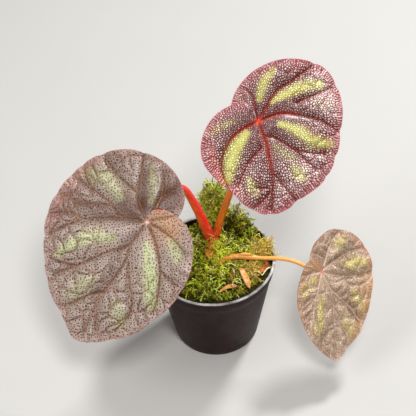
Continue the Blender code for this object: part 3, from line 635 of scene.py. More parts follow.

# Outlines, edges, veins and strokes run through points of degrees and mm about the top of the leafstalk.
# Each stroke of patches, warm, rosy, bloom and the darker strokes has its strength, its first and last width,
# and points; the darker strokes are partly the blade's own darker colour and partly painted shade.
blades = {
    "left": {
        "slot": "blade_mauve", "attach": (-31.0, -12.0, 92.0), "normal": (-0.3, -0.55, 0.78), "droop": 4.5,
        "cells": 26, "seed": 21,
        "frontEdge": [(431, 2.5), (420, 6), (397, 8.7)],
        "outline": [(397, 8.7), (384, 11.4), (363, 16), (344, 21.8), (325, 27.4), (304, 34.5), (284, 42),
                    (270, 48), (259, 54.5), (246, 61), (238, 66), (232, 67.5), (223, 63), (208, 60),
                    (190, 56), (168, 53.3), (152, 49.5), (132, 45), (108, 39.2), (85, 33.3), (66, 29.3),
                    (47, 25.5), (27, 22), (5, 16.2), (-6, 12.5)],
        "backEdge": [(70, 2.5), (60, 6), (43, 9), (20, 11.2), (-6, 12.5)],
        "veins": [
            [(228, 0), (229, 13), (236, 22), (233, 40), (235, 64)],
            [(229, 13), (212, 23), (205, 42), (203, 55)], [(233, 40), (226, 45), (219, 59)],
            [(165, 0), (165, 9), (172, 30), (168, 40), (169, 52)],
            [(164, 13), (150, 20), (146, 28), (144, 47)], [(109, 0), (108, 14), (95, 23), (91, 34)],
            [(293, 0), (291, 10), (283, 24), (276, 36), (271, 44)], [(330, 0), (328, 9), (317, 25)],
            [(372, 0), (366, 14)], [(54, 2), (55, 12), (44, 20)], [(52, 9), (67, 25)],
            [(240, 21), (256, 40), (249, 55)], [(234, 48), (240, 58)], [(205, 42), (194, 53)],
            [(173, 36), (181, 52)], [(150, 20), (158, 34), (157, 48)], [(147, 33), (136, 44)],
            [(106, 15), (118, 25), (121, 38)], [(283, 24), (293, 35)],
        ],
        "patches": [
            (0.62, 6.0, 4.4, [(137, 41), (131, 32), (130, 25), (134, 19)]),
            (0.5, 3.4, 3.4, [(83, 27), (76, 18), (74, 10)]),
            (0.75, 4.6, 4.8, [(193, 49), (188, 35), (188, 27), (199, 19)]),
            (0.92, 3.8, 5.4, [(267, 11), (271, 23), (270, 33), (271, 40)]),
            (0.65, 4.2, 4.2, [(318, 15), (307, 25)]), (0.5, 6.5, 6.5, [(217, 53), (220, 38)]),
            (0.55, 5.6, 5.6, [(246, 42), (252, 51)]),
        ],
        "warm": [
            (0.7, 9.0, 9.0, [(390, 5), (352, 10), (330, 14)]), (0.35, 5.0, 5.0, [(300, 6), (285, 14)]),
        ],
        "rosy": [
            (0.4, 6.0, 6.0, [(175, 52), (158, 48.5), (146, 46.5), (128, 43.5)]),
        ],
        "bloom": [],
        "dusk": [
            (1.0, 10.0, 10.0, [(110, 9), (70, 12), (43, 20)]),
            (0.42, 15.0, 15.0, [(132, 40), (96, 38), (60, 30)]),
            (0.6, 6.0, 6.0, [(62, 12), (60, 24), (52, 32)]),
            (0.85, 7.0, 7.0, [(30, 12), (38, 20), (48, 26)]),
            (0.35, 7.0, 7.0, [(172, 48), (160, 44), (150, 40)]), (0.85, 8.0, 8.0, [(146, 6), (130, 18)]),
            (0.6, 5.0, 3.0, [(160, 8), (162, 24), (160, 40)]),
            (0.5, 3.0, 2.6, [(214, 8), (226, 24), (228, 44)]), (0.75, 6.0, 6.0, [(92, 14), (84, 26)]),
            (0.8, 1.6, 1.6, [(200, 21), (196, 17)]),
        ],
        "pitch": 1.5, "warp": 0.0, "notch": 0.6, "crumple": 0.18, "quilt": 1.8, "groove": 0.6,
        "netPitch": 6.8, "netStretch": (1.0, 1.0), "netGroove": 0.4, "netStart": (12.0, 42.0),
        "ridges": 170, "ridgeReach": 1.6, "ridgeShow": -0.3, "flush": 0.08, "flushReach": 5.0,
        "rimStrength": 0.4, "hubReach": 1.1, "hubShade": 0.1,
        "pigment": {"Net": 0.5, "Rise": -0.8, "Hollow": 0.3, "Jitter": 0.7, "Reach": 0.27, "Seams": 0.0,
                    "Ring": 0.45},
        "colours": {"Ground": (158, 139, 127), "Ground Shade": (110, 89, 76), "Dot": (88, 48, 38),
                    "Rim": (194, 176, 168), "Dusk": (78, 44, 28), "Vein": (138, 96, 66),
                    "Patch": (184, 192, 136), "Patch Dot": (110, 112, 74), "Rosy": (178, 124, 116),
                    "Warm": (190, 140, 96), "Hub": (240, 196, 188)},
        "hairs": (206, 170, 160),
    },
    "top": {
        "slot": "blade_red", "attach": (24.6, 16.0, 128.0), "normal": (0.2, -0.5, 0.84), "droop": 5.0,
        "cells": 26, "seed": 5,
        "frontEdge": [(115, 2.5), (115, 7), (122, 10.9)],
        "outline": [(122, 10.9), (139, 13.3), (154, 15.7), (164, 18.3), (178, 22.3), (194, 27.6),
                    (207, 31.9), (219, 34.8), (232, 36), (249, 39), (263, 44), (275, 46.2), (286, 44.7),
                    (292, 43.1), (301, 42.3), (317, 42.4), (336, 41.3), (354, 41.2), (371, 43.3),
                    (385, 44.7), (399, 44.5), (414, 39.4), (431, 32.5), (446, 26.9), (467, 21), (490, 17),
                    (506, 15), (522, 13.6)],
        "backEdge": [(464, 2.5), (470, 5.6), (497, 9.3), (522, 13.6)],
        "veins": [
            [(380, 0), (381, 10), (369, 21), (361, 32), (353, 40)],
            [(290, 0), (287, 12), (282, 25), (287, 30), (293, 42)], [(282, 25), (275, 44)],
            [(289, 8), (313, 11), (320, 21), (319, 36)],
            [(207, 0), (208, 9), (217, 19), (229, 29), (243, 36)],
            [(416, 0), (417, 17), (409, 27), (405, 40)], [(463, 0), (457, 11), (469, 17)],
            [(274, 13), (255, 20), (250, 34)], [(386, 22), (385, 42)], [(276, 35), (264, 43)],
            [(320, 21), (334, 36)], [(266, 33), (276, 33)],
        ],
        "patches": [
            (1.0, 3.2, 3.6, [(430, 28), (438, 20), (443, 11)]),
            (1.1, 2.7, 4.6, [(412, 12), (402, 22), (398, 28), (391, 37)]),
            (1.15, 3.4, 5.0, [(352, 11), (345, 21), (340, 28), (342, 36)]),
            (1.25, 4.2, 4.4, [(226, 9), (230, 19), (236, 26), (241, 34)]),
            (0.6, 3.0, 3.0, [(197, 24), (180, 11)]), (0.75, 4.6, 4.6, [(305, 28), (305, 35)]),
            (0.55, 4.2, 4.2, [(300, 14), (310, 24)]), (0.7, 4.4, 4.4, [(258, 30), (265, 36)]),
            (0.5, 2.4, 2.4, [(489, 15), (483, 11)]), (0.4, 3.4, 3.4, [(373, 36), (377, 30)]),
        ],
        "warm": [
            (0.8, 1.5, 1.5, [(290, 0), (287, 12), (282, 25)]),
            (0.8, 1.3, 1.3, [(380, 0), (381, 10), (369, 21)]),
            (0.6, 1.3, 1.3, [(207, 0), (208, 9), (217, 19)]),
            (0.3, 3.0, 3.0, [(215, 28), (232, 34), (250, 38)]),
        ],
        "rosy": [],
        "bloom": [
            (0.5, 7.0, 7.0, [(396, 40), (380, 36), (366, 38)]),
            (0.4, 8.0, 8.0, [(325, 30), (305, 34), (285, 36)]), (0.15, 7.0, 7.0, [(248, 24), (262, 36)]),
        ],
        "dusk": [
            (0.75, 5.0, 5.0, [(408, 8), (398, 16), (375, 24)]), (0.65, 3.6, 3.6, [(420, 16), (414, 28)]),
            (0.4, 5.0, 5.0, [(347, 38), (331, 41), (314, 42)]),
            (0.35, 5.0, 5.0, [(302, 41), (285, 43), (266, 42)]), (0.45, 3.6, 3.6, [(320, 10), (322, 24)]),
            (0.4, 3.6, 3.6, [(250, 10), (256, 20)]),
            (0.7, 4.4, 2.2, [(380, 2), (381, 10), (369, 21), (361, 32)]),
            (0.6, 3.4, 1.6, [(290, 2), (287, 12), (282, 25), (275, 44)]),
            (0.6, 3.4, 1.8, [(207, 2), (208, 9), (217, 19), (229, 29)]),
            (0.6, 3.0, 2.2, [(416, 2), (417, 17), (409, 27), (405, 40)]),
            (0.5, 3.0, 1.8, [(463, 2), (457, 11), (469, 17)]),
        ],
        "pitch": 1.08, "warp": -0.2, "notch": 0.7, "crumple": 0.15, "quilt": 0.9, "groove": 0.6,
        "netPitch": 6.5, "netStretch": (1.0, 1.0), "netGroove": 0.25, "netStart": (14.0, 34.0),
        "ridges": 210, "ridgeReach": 3.4, "ridgeShow": 0.5, "flush": 0.28, "flushReach": 4.5,
        "rimStrength": 0.75, "hubReach": 1.5, "hubShade": 0.45,
        "pigment": {"Net": 0.35, "Rise": 0.8, "Hollow": 0.3, "Jitter": 0.8, "Reach": 1.45, "Seams": 1.0,
                    "Ring": 0.0},
        "colours": {"Ground": (112, 40, 34), "Ground Shade": (72, 18, 15), "Dot": (210, 184, 180),
                    "Dusk": (76, 24, 18), "Vein": (134, 36, 22), "Patch": (172, 168, 74),
                    "Patch Dot": (232, 236, 176), "Rosy": (172, 72, 84), "Warm": (200, 62, 26),
                    "Hub": (226, 72, 34)},
        "hairs": (214, 120, 124),
    },
    "right": {
        "slot": "blade_tan", "attach": (53.8, -12.3, 50.0), "normal": (0.35, -0.62, 0.7), "droop": 4.0,
        "cells": 20, "seed": 9,
        "frontEdge": [(84, 2.5), (89, 5.2), (106, 7.3)],
        "outline": [(106, 7.3), (126, 8.4), (141, 8.9), (160, 9.5), (180, 10.6), (200, 13.2), (220, 18.3),
                    (240, 25.7), (252, 31.8), (264, 38.5), (274, 44.7), (278, 45.8), (283, 43), (292, 39.3),
                    (303, 36.7), (317, 32.8), (335, 29.8), (355, 28.8), (374, 28.5), (398, 27), (416, 25),
                    (433, 22.1), (451, 17.1), (473, 12.2), (496, 8.3), (520, 7)],
        "backEdge": [(434, 2.5), (443, 4.5), (466, 6), (494, 6.7), (520, 7)],
        "veins": [
            [(339, 0), (346, 10), (352, 20), (357, 28)], [(410, 0), (397, 6), (392, 16), (385, 26)],
            [(295, 0), (294, 10), (283, 24), (277, 43)], [(254, 0), (254, 7), (252, 30)],
            [(296, 9), (307, 20), (307, 32)], [(190, 0), (188, 6), (202, 11)],
            [(427, 4), (427, 16), (421, 22)], [(283, 24), (291, 34), (286, 40)], [(254, 12), (240, 22)],
            [(284, 29), (272, 31), (267, 37), (273, 42)], [(180, 4), (199, 6.6), (228, 10.4)],
            [(254, 8), (230, 9.7), (222, 13.2)], [(254, 14), (243, 15), (236, 19)],
            [(255, 20), (250, 21.4), (246, 24.4)], [(448, 7), (470, 9.6), (477, 10.6)],
        ],
        "patches": [
            (1.0, 3.4, 3.4, [(412, 14), (413, 21)]), (1.2, 3.8, 3.8, [(373, 15), (370, 24)]),
            (1.0, 2.4, 2.4, [(265, 13), (264, 22)]), (1.0, 2.8, 2.8, [(264, 23), (262, 31)]),
            (0.85, 3.0, 3.0, [(327, 20), (319, 29)]), (0.75, 3.8, 3.8, [(295, 26), (295, 35)]),
            (0.75, 3.2, 3.2, [(222, 5), (226, 16)]),
        ],
        "warm": [
            (1.2, 6.5, 6.5, [(368, 29), (349, 29), (329, 30), (314, 34), (297, 37)]),
            (1.1, 3.4, 3.4, [(133, 7), (150, 3)]), (0.8, 3.5, 3.5, [(180, 3), (200, 5), (230, 6)]),
            (0.55, 4.0, 4.0, [(150, 8), (190, 9), (222, 17), (242, 26)]),
        ],
        "rosy": [
            (0.9, 1.6, 1.6, [(116, 3.5), (10, 0.5)]), (0.5, 2.6, 2.6, [(400, 25.5), (380, 28)]),
        ],
        "bloom": [
            (0.5, 5.0, 5.0, [(292, 34), (278, 42)]),
        ],
        "dusk": [
            (0.6, 4.0, 4.0, [(410, 6), (400, 14)]), (0.55, 4.4, 4.4, [(480, 7), (450, 14)]),
            (0.5, 5.0, 5.0, [(440, 8), (433, 19)]), (0.5, 4.5, 4.5, [(388, 7), (384, 17)]),
            (0.4, 3.0, 3.0, [(180, 3), (210, 5)]), (0.6, 2.4, 2.4, [(312, 20), (310, 28)]),
        ],
        "pitch": 1.35, "warp": -0.1, "notch": 0.5, "crumple": 0.08, "quilt": 2.7, "groove": 0.1,
        "netPitch": 5.2, "netStretch": (1.0, 0.75), "netGroove": 0.05, "netStart": (3.0, 12.0),
        "ridges": 150, "ridgeReach": 4.0, "ridgeShow": 0.3, "flush": 0.12, "flushReach": 3.0,
        "rimStrength": 0.3, "hubReach": 0.9, "hubShade": 0.0,
        "pigment": {"Net": 0.55, "Rise": 0.55, "Hollow": 0.18, "Jitter": 1.0, "Reach": 0.75, "Seams": 1.0,
                    "Ring": 0.0},
        "colours": {"Ground": (152, 124, 98), "Ground Shade": (136, 107, 80), "Dot": (174, 152, 133),
                    "Dusk": (104, 74, 46), "Vein": (206, 180, 162), "Patch": (170, 158, 86),
                    "Patch Dot": (206, 194, 122), "Rosy": (190, 118, 96), "Warm": (162, 114, 58),
                    "Hub": (220, 120, 92)},
        "hairs": (200, 168, 140),
    },
}


def evenSamples(points, count):
    # points at even distances along a smooth curve given in degrees and mm
    curve = denseCurve(points, bladeShape["sampleSteps"])
    lengths = [0.0]
    for start, end in zip(curve, curve[1:]):
        lengths.append(lengths[-1] + (flatPoint(*end) - flatPoint(*start)).length)
    samples = []
    k = 0
    for step in range(count + 1):
        wanted = lengths[-1] * step / count
        while k < len(curve) - 2 and lengths[k + 1] < wanted:
            k += 1
        span = max(lengths[k + 1] - lengths[k], 1e-9)
        share = min(max((wanted - lengths[k]) / span, 0.0), 1.0)
        samples.append(tuple(s + (e - s) * share for s, e in zip(curve[k], curve[k + 1])))
    return samples


def sampleBetween(samples, place):
    k = min(int(place), len(samples) - 2)
    share = place - k
    return tuple(s + (e - s) * share for s, e in zip(samples[k], samples[k + 1]))


def rimDip(leaf, degrees, radius):
    # how far in mm the margin is drawn in where a vein runs out to it
    dip = 0.0
    for vein in leaf["veins"]:
        endDegrees, endRadius = vein[-1]
        gap = math.radians(degrees - endDegrees) * radius
        if endRadius > bladeShape["notchFrom"] * radius:
            dip = max(dip, leaf["notch"] * math.exp(-(gap / bladeShape["notchWidth"]) ** 2))
    return dip


def layBlade(leaf):
    # the blade laid out flat in mm: a grid slit between the basal lobes, its corners drawn on to the
    # outline, then divided finely and doubled for the underside
    cells = leaf["cells"]
    tiny = 0.1 / cells
    bm = bmesh.new()
    bmesh.ops.create_grid(bm, x_segments=cells, y_segments=cells, size=1.0)
    turned = bm.verts.layers.float.new("degrees")
    below = bm.verts.layers.float.new("under")
    slit = [edge for edge in bm.edges
            if all(abs(v.co.y) < tiny and v.co.x > -tiny for v in edge.verts)]
    bmesh.ops.split_edges(bm, edges=slit)
    outline = evenSamples(leaf["outline"], 4 * cells)
    front = evenSamples([(leaf["frontEdge"][0][0], 0.0), *leaf["frontEdge"]], cells // 2)
    back = evenSamples([(leaf["backEdge"][0][0], 0.0), *leaf["backEdge"]], cells // 2)
    first = outline[0][0]
    last = outline[-1][0]
    backSide = {vert for vert in bm.verts
                if all(face.calc_center_median().y < 0.0 for face in vert.link_faces)}
    for vert in bm.verts:
        turn, reach = discPlace(vert.co.x, vert.co.y)
        onSlit = abs(vert.co.y) < tiny and vert.co.x > tiny
        if onSlit and vert in backSide:
            turn = 1.0
        rim = sampleBetween(outline, turn * 4 * cells)
        start = sampleBetween(front, reach * (cells // 2))
        end = sampleBetween(back, reach * (cells // 2))
        if onSlit:
            degrees, radius = end if vert in backSide else start
        elif reach > 1.0 - tiny:
            degrees, radius = rim
            radius -= rimDip(leaf, degrees, radius)
        else:
            share = (rim[0] - first) / (last - first)
            degrees = start[0] + (end[0] - start[0]) * share
            radius = reach * rim[1]
        vert[turned] = degrees
        vert.co.xy = flatPoint(degrees, radius)
    inner = [vert for vert in bm.verts if not vert.is_boundary]
    for _ in range(bladeShape["relaxRounds"]):
        bmesh.ops.smooth_vert(bm, verts=inner, factor=0.5, use_axis_x=True, use_axis_y=True)
    for vert in bm.verts:
        if vert.co.xy.length > tiny:
            flat = math.degrees(math.atan2(vert.co.y, vert.co.x))
            vert[turned] = flat + 360.0 * round((vert[turned] - flat) / 360.0)
    bmesh.ops.subdivide_edges(bm, edges=bm.edges[:], cuts=bladeShape["fineness"] - 1, use_grid_fill=True)
    doubled = bmesh.ops.extrude_face_region(bm, geom=bm.faces[:])["geom"]
    for item in doubled:
        if isinstance(item, bmesh.types.BMVert):
            item[below] = 1.0
            item.co.z = -1.0
        elif isinstance(item, bmesh.types.BMFace):
            item.material_index = 1
    return bm


def strokeGap(places, degrees, stroke, steps=5):
    # distance in mm from each place to a smooth stroke over the blade, and how far along it that is
    points = denseCurve(stroke, steps)
    route = np.array([tuple(flatPoint(*point)) for point in points])
    lengths = np.linalg.norm(np.diff(route, axis=0), axis=1)
    reached = np.concatenate([[0.0], np.cumsum(lengths)])
    gap = np.full(len(places), 99.0)
    along = np.zeros(len(places))
    for k, length in enumerate(lengths):
        if length < 1e-6:
            continue
        way = (route[k + 1] - route[k]) / length
        away = places - route[k]
        run = np.clip(away @ way, 0.0, length)
        distance = np.hypot(away[:, 0] - run * way[0], away[:, 1] - run * way[1])
        closer = (distance < gap) & (np.abs(points[k][0] - degrees) < bladeShape["sameSide"])
        gap[closer] = distance[closer]
        along[closer] = (reached[k] + run[closer]) / reached[-1]
    return gap, along


def bell(gap, width):
    return np.exp(-(gap / width) ** 2)


def strokeMask(places, degrees, strokes):
    mask = np.zeros(len(places))
    for strength, start, end, points in strokes:
        gap, along = strokeGap(places, degrees, points, 3)
        width = (start + (end - start) * along) * (0.6 + 0.4 * np.sin(math.pi * along))
        mask = np.maximum(mask, strength * bell(gap, width))
    return mask


def scatterGaps(places, pitch, jitter, seed):
    # distances to the nearest and the next of a scatter of points, one in each square of the pitch
    low = places.min(axis=0) - 3.0 * pitch
    cells = np.floor((places - low) / pitch).astype(int)
    shifts = np.random.default_rng(seed).random((*(cells.max(axis=0) + 4), 2))
    nearest = np.full(len(places), 99.0)
    second = np.full(len(places), 99.0)
    for stepX in range(-2, 3):
        for stepY in range(-2, 3):
            column = cells[:, 0] + stepX
            row = cells[:, 1] + stepY
            shift = shifts[column, row]
            siteX = low[0] + (column + 0.5 + 0.5 * (row % 2) + jitter * (shift[:, 0] - 0.5)) * pitch
            siteY = low[1] + (row + 0.5 + jitter * (shift[:, 1] - 0.5)) * pitch
            away = np.hypot(places[:, 0] - siteX, places[:, 1] - siteY)
            second = np.minimum(second, np.maximum(nearest, away))
            nearest = np.minimum(nearest, away)
    return nearest, second


def wander(places, size, reach, seed):
    # smooth shifts of up to about reach mm that change over about size mm
    draw = np.random.default_rng(seed)
    shifts = np.zeros(places.shape)
    for _ in range(5):
        ways = draw.normal(size=(2, 2)) * 2.0 / size
        phases = draw.uniform(0.0, math.tau, 2)
        shifts += np.sin(places @ ways + phases)
    return shifts * reach * 0.45


def bladeFields(leaf, flat, degrees):
    # what varies over a blade: its height and the masks that its colours follow
    shape = bladeShape
    seed = leaf["seed"]
    radius = np.hypot(flat[:, 0], flat[:, 1])
    front = bell(degrees - leaf["frontEdge"][-1][0], shape["lobeSpread"])
    back = bell(degrees - leaf["backEdge"][-1][0], shape["lobeSpread"])
    part = 1.0 - bell(radius, shape["lobeStart"])
    smooth = 1.0 - shape["lobeSmoothing"] * np.maximum(front, back)

    veinGap = np.full(len(flat), 99.0)
    veins = np.zeros(len(flat))
    for vein in leaf["veins"]:
        gap, along = strokeGap(flat, degrees, vein)
        startWidth = shape["veinWide"] if vein[0][1] < 5 else 0.5 * (shape["veinWide"] + shape["veinFine"])
        width = startWidth + (shape["veinFine"] - startWidth) * along
        veins = np.maximum(veins, bell(gap, width) * (1.0 - 0.35 * along))
        veinGap = np.minimum(veinGap, gap)
    bent = (flat + wander(flat, *shape["netWave"], seed)) * np.array(leaf["netStretch"])
    nearest, second = scatterGaps(bent, leaf["netPitch"], 1.0, seed)
    netGap = (second - nearest) * 0.6
    outward = fade(radius, *leaf["netStart"])
    net = bell(netGap, shape["netLine"]) * outward
    # painted shade in the grooves beside the veins and the net lines, less inside the patches
    veinGrooveShade, veinReach = shape["veinGrooveShade"]
    netGrooveShade, netReach = shape["netGrooveShade"]
    hollow = np.maximum(veinGrooveShade * bell(veinGap, veinReach), netGrooveShade * outward * bell(netGap, netReach))
    spots = flat * (np.maximum(radius, 1.0) / shape["spotRadius"])[:, None] ** leaf["warp"]
    spots = (spots + wander(flat, *shape["spotWave"], seed + 2)) / leaf["pitch"]

    rimGap, rimAlong = strokeGap(flat, degrees, leaf["outline"], 3)
    drift = wander(flat, *shape["ridgeWave"], seed + 3)[:, 0]
    ridges = np.cos((rimAlong * leaf["ridges"] + drift) * math.tau) * bell(rimGap, leaf["ridgeReach"])
    masks = {label: strokeMask(flat, degrees, leaf[label])
             for label in ("patches", "bloom", "warm", "rosy", "dusk")}
    rosyRim = np.maximum(bell(rimGap, shape["rimBand"]) * leaf["rimStrength"],
                         leaf["flush"] * bell(rimGap, leaf["flushReach"]))

    calmShare, calmReach = shape["rimCalm"]
    calm = (1.0 - calmShare * bell(rimGap, calmReach)) * smooth * outward
    height = shape["pucker"] * smooth * (1.0 - np.exp(-veinGap / shape["puckerWidth"]))
    height -= leaf["droop"] * (radius / shape["droopReach"]) ** 2
    height += shape["lobeLift"] * part * (front - back)
    netSwell = 1.0 - np.exp(-netGap / shape["netSoft"])
    veinSwell = 1.0 - np.exp(-veinGap / shape["veinSoft"])
    height += leaf["quilt"] * calm * netSwell * veinSwell
    height += leaf["crumple"] * calm * wander(flat, *shape["crumpleWave"], seed + 4)[:, 0]
    ripple = np.sin(np.radians(degrees) * shape["rippleTurns"])
    height += shape["edgeRipple"] * ripple * np.exp(-rimGap / shape["rippleReach"]) * smooth
    broad = height.copy()
    height -= leaf["groove"] * veins + leaf["netGroove"] * net
    height += shape["ridgeLift"] * ridges
    drop = shape["thickness"] + shape["ribDepth"] * veins * np.exp(-radius / shape["ribReach"])
    drop += shape["netRib"] * net
    hubFleck, hubReach = shape["hubFleck"]
    return {
        "height": height, "broad": broad, "drop": drop, "veins": veins, "net": net,
        "spots": np.column_stack([spots, np.zeros(len(flat))]),
        "fleck": (leaf["ridgeShow"] * ridges + shape["bloomFleck"] * masks["bloom"]
                  - hubFleck * leaf["hubShade"] * bell(radius, hubReach)),
        "hollow": hollow * (1.0 - shape["patchGrooveShade"] * np.clip(masks["patches"], 0.0, 1.0)),
        "patch": masks["patches"], "warm": masks["warm"], "rosy": np.maximum(masks["rosy"], rosyRim),
        # darker near the hub and under the darker strokes: partly the blade's own darker colour and partly
        # painted shade
        "dusk": np.maximum(masks["dusk"], leaf["hubShade"] * bell(radius, shape["hubDarkToneAndShade"])),
        "hub": bell(radius, leaf["hubReach"]),
    }


def spotGap(tree, jitter, feature):
    # distance from a spot's middle or from the seams between spots, in steps of their pitch
    spots = addNode(tree, "TexVoronoi", voronoi_dimensions="2D", feature=feature)
    feed(tree, spots.inputs["Vector"], attribute(tree, "spots", "Vector"))
    spots.inputs["Scale"].default_value = 1.0
    feed(tree, spots.inputs["Randomness"], jitter)
    return spots.outputs["Distance"]


# names that end in At give where an effect starts and where it is full; the rest are sizes in mm and shares
pigmentLook = {
    "cloud": 7.0, "grain": 0.9, "ragged": 0.7, "dotAt": (1.1, 0.75), "domeAt": (1.6, 0.2),
    "seam": (-2.0, 1.3), "cloudAt": (0.3, 0.7), "cloudShade": 0.35, "grainAt": (0.4, 0.75),
    "grainShade": 0.45, "nearAt": (2.0, 1.0), "nearShade": 0.8, "rimAndHighlightAt": (2.4, 1.5), "warmDot": 0.35,
    "darkToneAndShadeShow": (-0.35, 0.96), "patchCloud": 0.5, "patchRagged": 0.8, "patchFleck": (0.4, -0.26),
    "patchAt": (0.0, 1.2), "patchShow": 0.92, "patchDot": 0.7, "grooveShadeAt": (0.2, 0.55), "grainRise": 0.6,
}


def pigmentGroup():
    # the blade's colours, which follow the masks on its mesh
    look = pigmentLook
    labels = ("Ground", "Ground Shade", "Rim", "Dot", "Dusk", "Vein", "Patch", "Patch Dot", "Rosy", "Warm",
              "Hub")
    inputs = {label: (0.5, 0.5, 0.5, 1.0) for label in labels}
    inputs.update({"Net": 0.4, "Rise": 0.6, "Hollow": 0.6, "Jitter": 0.8, "Reach": 0.5, "Seams": 0.0,
                   "Ring": 0.0})
    group, given, made = makeGroup("begonia pigment", inputs)
    mask = {label: attribute(group, label)
            for label in ("fleck", "warm", "dusk", "patch", "hollow", "rosy", "net", "veins", "hub")}
    place = attribute(group, "flat", "Vector")
    cloud = noiseValue(group, place, look["cloud"], 2.0)
    grain = noiseValue(group, place, look["grain"], 3.0, 0.65)
    ragged = times(group, grain, look["ragged"], -look["ragged"] / 2)

    # round dots, or flecks between seams, which a bloom widens
    spot = calc(group, "DIVIDE", spotGap(group, given["Jitter"], "F1"), given["Reach"])
    seam = calc(group, "DIVIDE", spotGap(group, given["Jitter"], "DISTANCE_TO_EDGE"), given["Reach"])
    seam = times(group, seam, *look["seam"])
    dots = times(group, calc(group, "SUBTRACT", seam, spot), given["Seams"], spot)
    dots = calc(group, "SUBTRACT", calc(group, "ADD", dots, ragged), mask["fleck"])
    dotMask = between(group, dots, *look["dotAt"])
    dome = between(group, dots, *look["domeAt"])

    # the ground round them, cloudy, with painted shade next to each fleck and a pale ring round each dot,
    # partly its pale rim and partly painted highlight
    shade = times(group, between(group, cloud, *look["cloudAt"]), look["cloudShade"])
    shade = times(group, between(group, grain, *look["grainAt"]), look["grainShade"], shade)
    # painted shade on the ground next to each raised fleck
    fleckShadow = times(group, between(group, dots, *look["nearAt"]), given["Seams"])
    shade = times(group, fleckShadow, look["nearShade"], shade, clamp=True)
    ground = mixColour(group, shade, given["Ground"], given["Ground Shade"])
    # pale ring round each dot: partly its pale rim and partly painted highlight
    ring = times(group, between(group, dots, *look["rimAndHighlightAt"]), given["Ring"])
    ground = mixColour(group, ring, ground, given["Rim"])
    ground = mixColour(group, mask["warm"], ground, given["Warm"])
    dot = mixColour(group, times(group, mask["warm"], look["warmDot"]), given["Dot"], given["Warm"])
    base = mixColour(group, dotMask, ground, dot)
    # darker under the darker strokes, less on the dots: partly the blade's own darker colour and partly
    # painted shade
    dusk = times(group, dotMask, *look["darkToneAndShadeShow"])
    base = mixColour(group, times(group, mask["dusk"], dusk), base, given["Dusk"])

    # the green patches, ragged where flecks cross their edge
    patchy = times(group, calc(group, "SUBTRACT", cloud, 0.5), look["patchCloud"], mask["patch"])
    patchy = calc(group, "ADD", patchy, times(group, ragged, look["patchRagged"]))
    patchy = times(group, times(group, dotMask, *look["patchFleck"]), given["Seams"], patchy)
    patchMask = times(group, between(group, patchy, *look["patchAt"]), look["patchShow"])
    patch = mixColour(group, times(group, dotMask, look["patchDot"]), given["Patch"], given["Patch Dot"])
    base = mixColour(group, patchMask, base, patch)

    # painted shade in the grooves, mixed towards the darker colour
    hollow = times(group, mask["hollow"], between(group, grain, *look["grooveShadeAt"]))
    layers = ((times(group, hollow, given["Hollow"]), "Dusk"), (mask["rosy"], "Rosy"),
              (times(group, mask["net"], given["Net"]), "Vein"), (mask["veins"], "Vein"),
              (mask["hub"], "Hub"))
    for share, label in layers:
        base = mixColour(group, share, base, given[label])
    feed(group, made["Color"], base)
    feed(group, made["Height"], times(group, dome, given["Rise"], times(group, grain, look["grainRise"])))
    return group


pigment = pigmentGroup()


def bladeMaterial(name, leaf):
    material, tree, shader = newMaterial(name, 0.42, 0.35)
    made = useGroup(tree, pigment, {**tones(leaf["colours"]), **leaf["pigment"]})
    shader.inputs["Coat Weight"].default_value = 0.15
    shader.inputs["Coat Roughness"].default_value = 0.2
    feed(tree, shader.inputs["Base Color"], made["Color"])
    addBump(tree, shader, made["Height"], 0.4, 0.9)
    return material


undersideLook = {"ground": (150, 74, 66), "pale": (176, 118, 96), "patch": (176, 172, 110),
                 "net": (160, 60, 52), "veins": (186, 52, 44)}


def undersideMaterial():
    material, tree, shader = newMaterial("blade underside", 0.5, 0.4, 0.2)
    place = attribute(tree, "flat", "Vector")
    look = tones(undersideLook)
    cloud = noiseValue(tree, place, 6.0, 4.0)
    colour = mixColour(tree, between(tree, cloud, 0.35, 0.68), look["ground"], look["pale"])
    for label, share in (("patch", 0.45), ("net", 0.6), ("veins", 1.0)):
        colour = mixColour(tree, times(tree, attribute(tree, label), share), colour, look[label])
    feed(tree, shader.inputs["Base Color"], colour)
    addBump(tree, shader, noiseValue(tree, place, 0.7, 3.0), 0.12, 0.6)
    return material


def hairTemplate(length, radius):
    # a slim bent spike along +Z
    bm = bmesh.new()
    bmesh.ops.create_cone(bm, cap_ends=True, segments=3, radius1=radius, radius2=radius * 0.5,
                          depth=length / 2, matrix=Matrix.Translation((0.0, 0.0, length / 4)))
    top = max(bm.faces, key=lambda face: face.calc_center_median().z)
    tip = bmesh.ops.extrude_discrete_faces(bm, faces=[top])["faces"][0]
    centre = tip.calc_center_median()
    for vert in tip.verts:
        vert.co = centre + (vert.co - centre) * 0.15 + Vector((length * 0.12, 0.0, length / 2))
    return meshFrom(bm, "hair")


def addHair(bm, template, foot, heading, size):
    addCopy(bm, template, Matrix.Translation(foot) @ turnTo(heading) @ Matrix.Scale(size, 4))


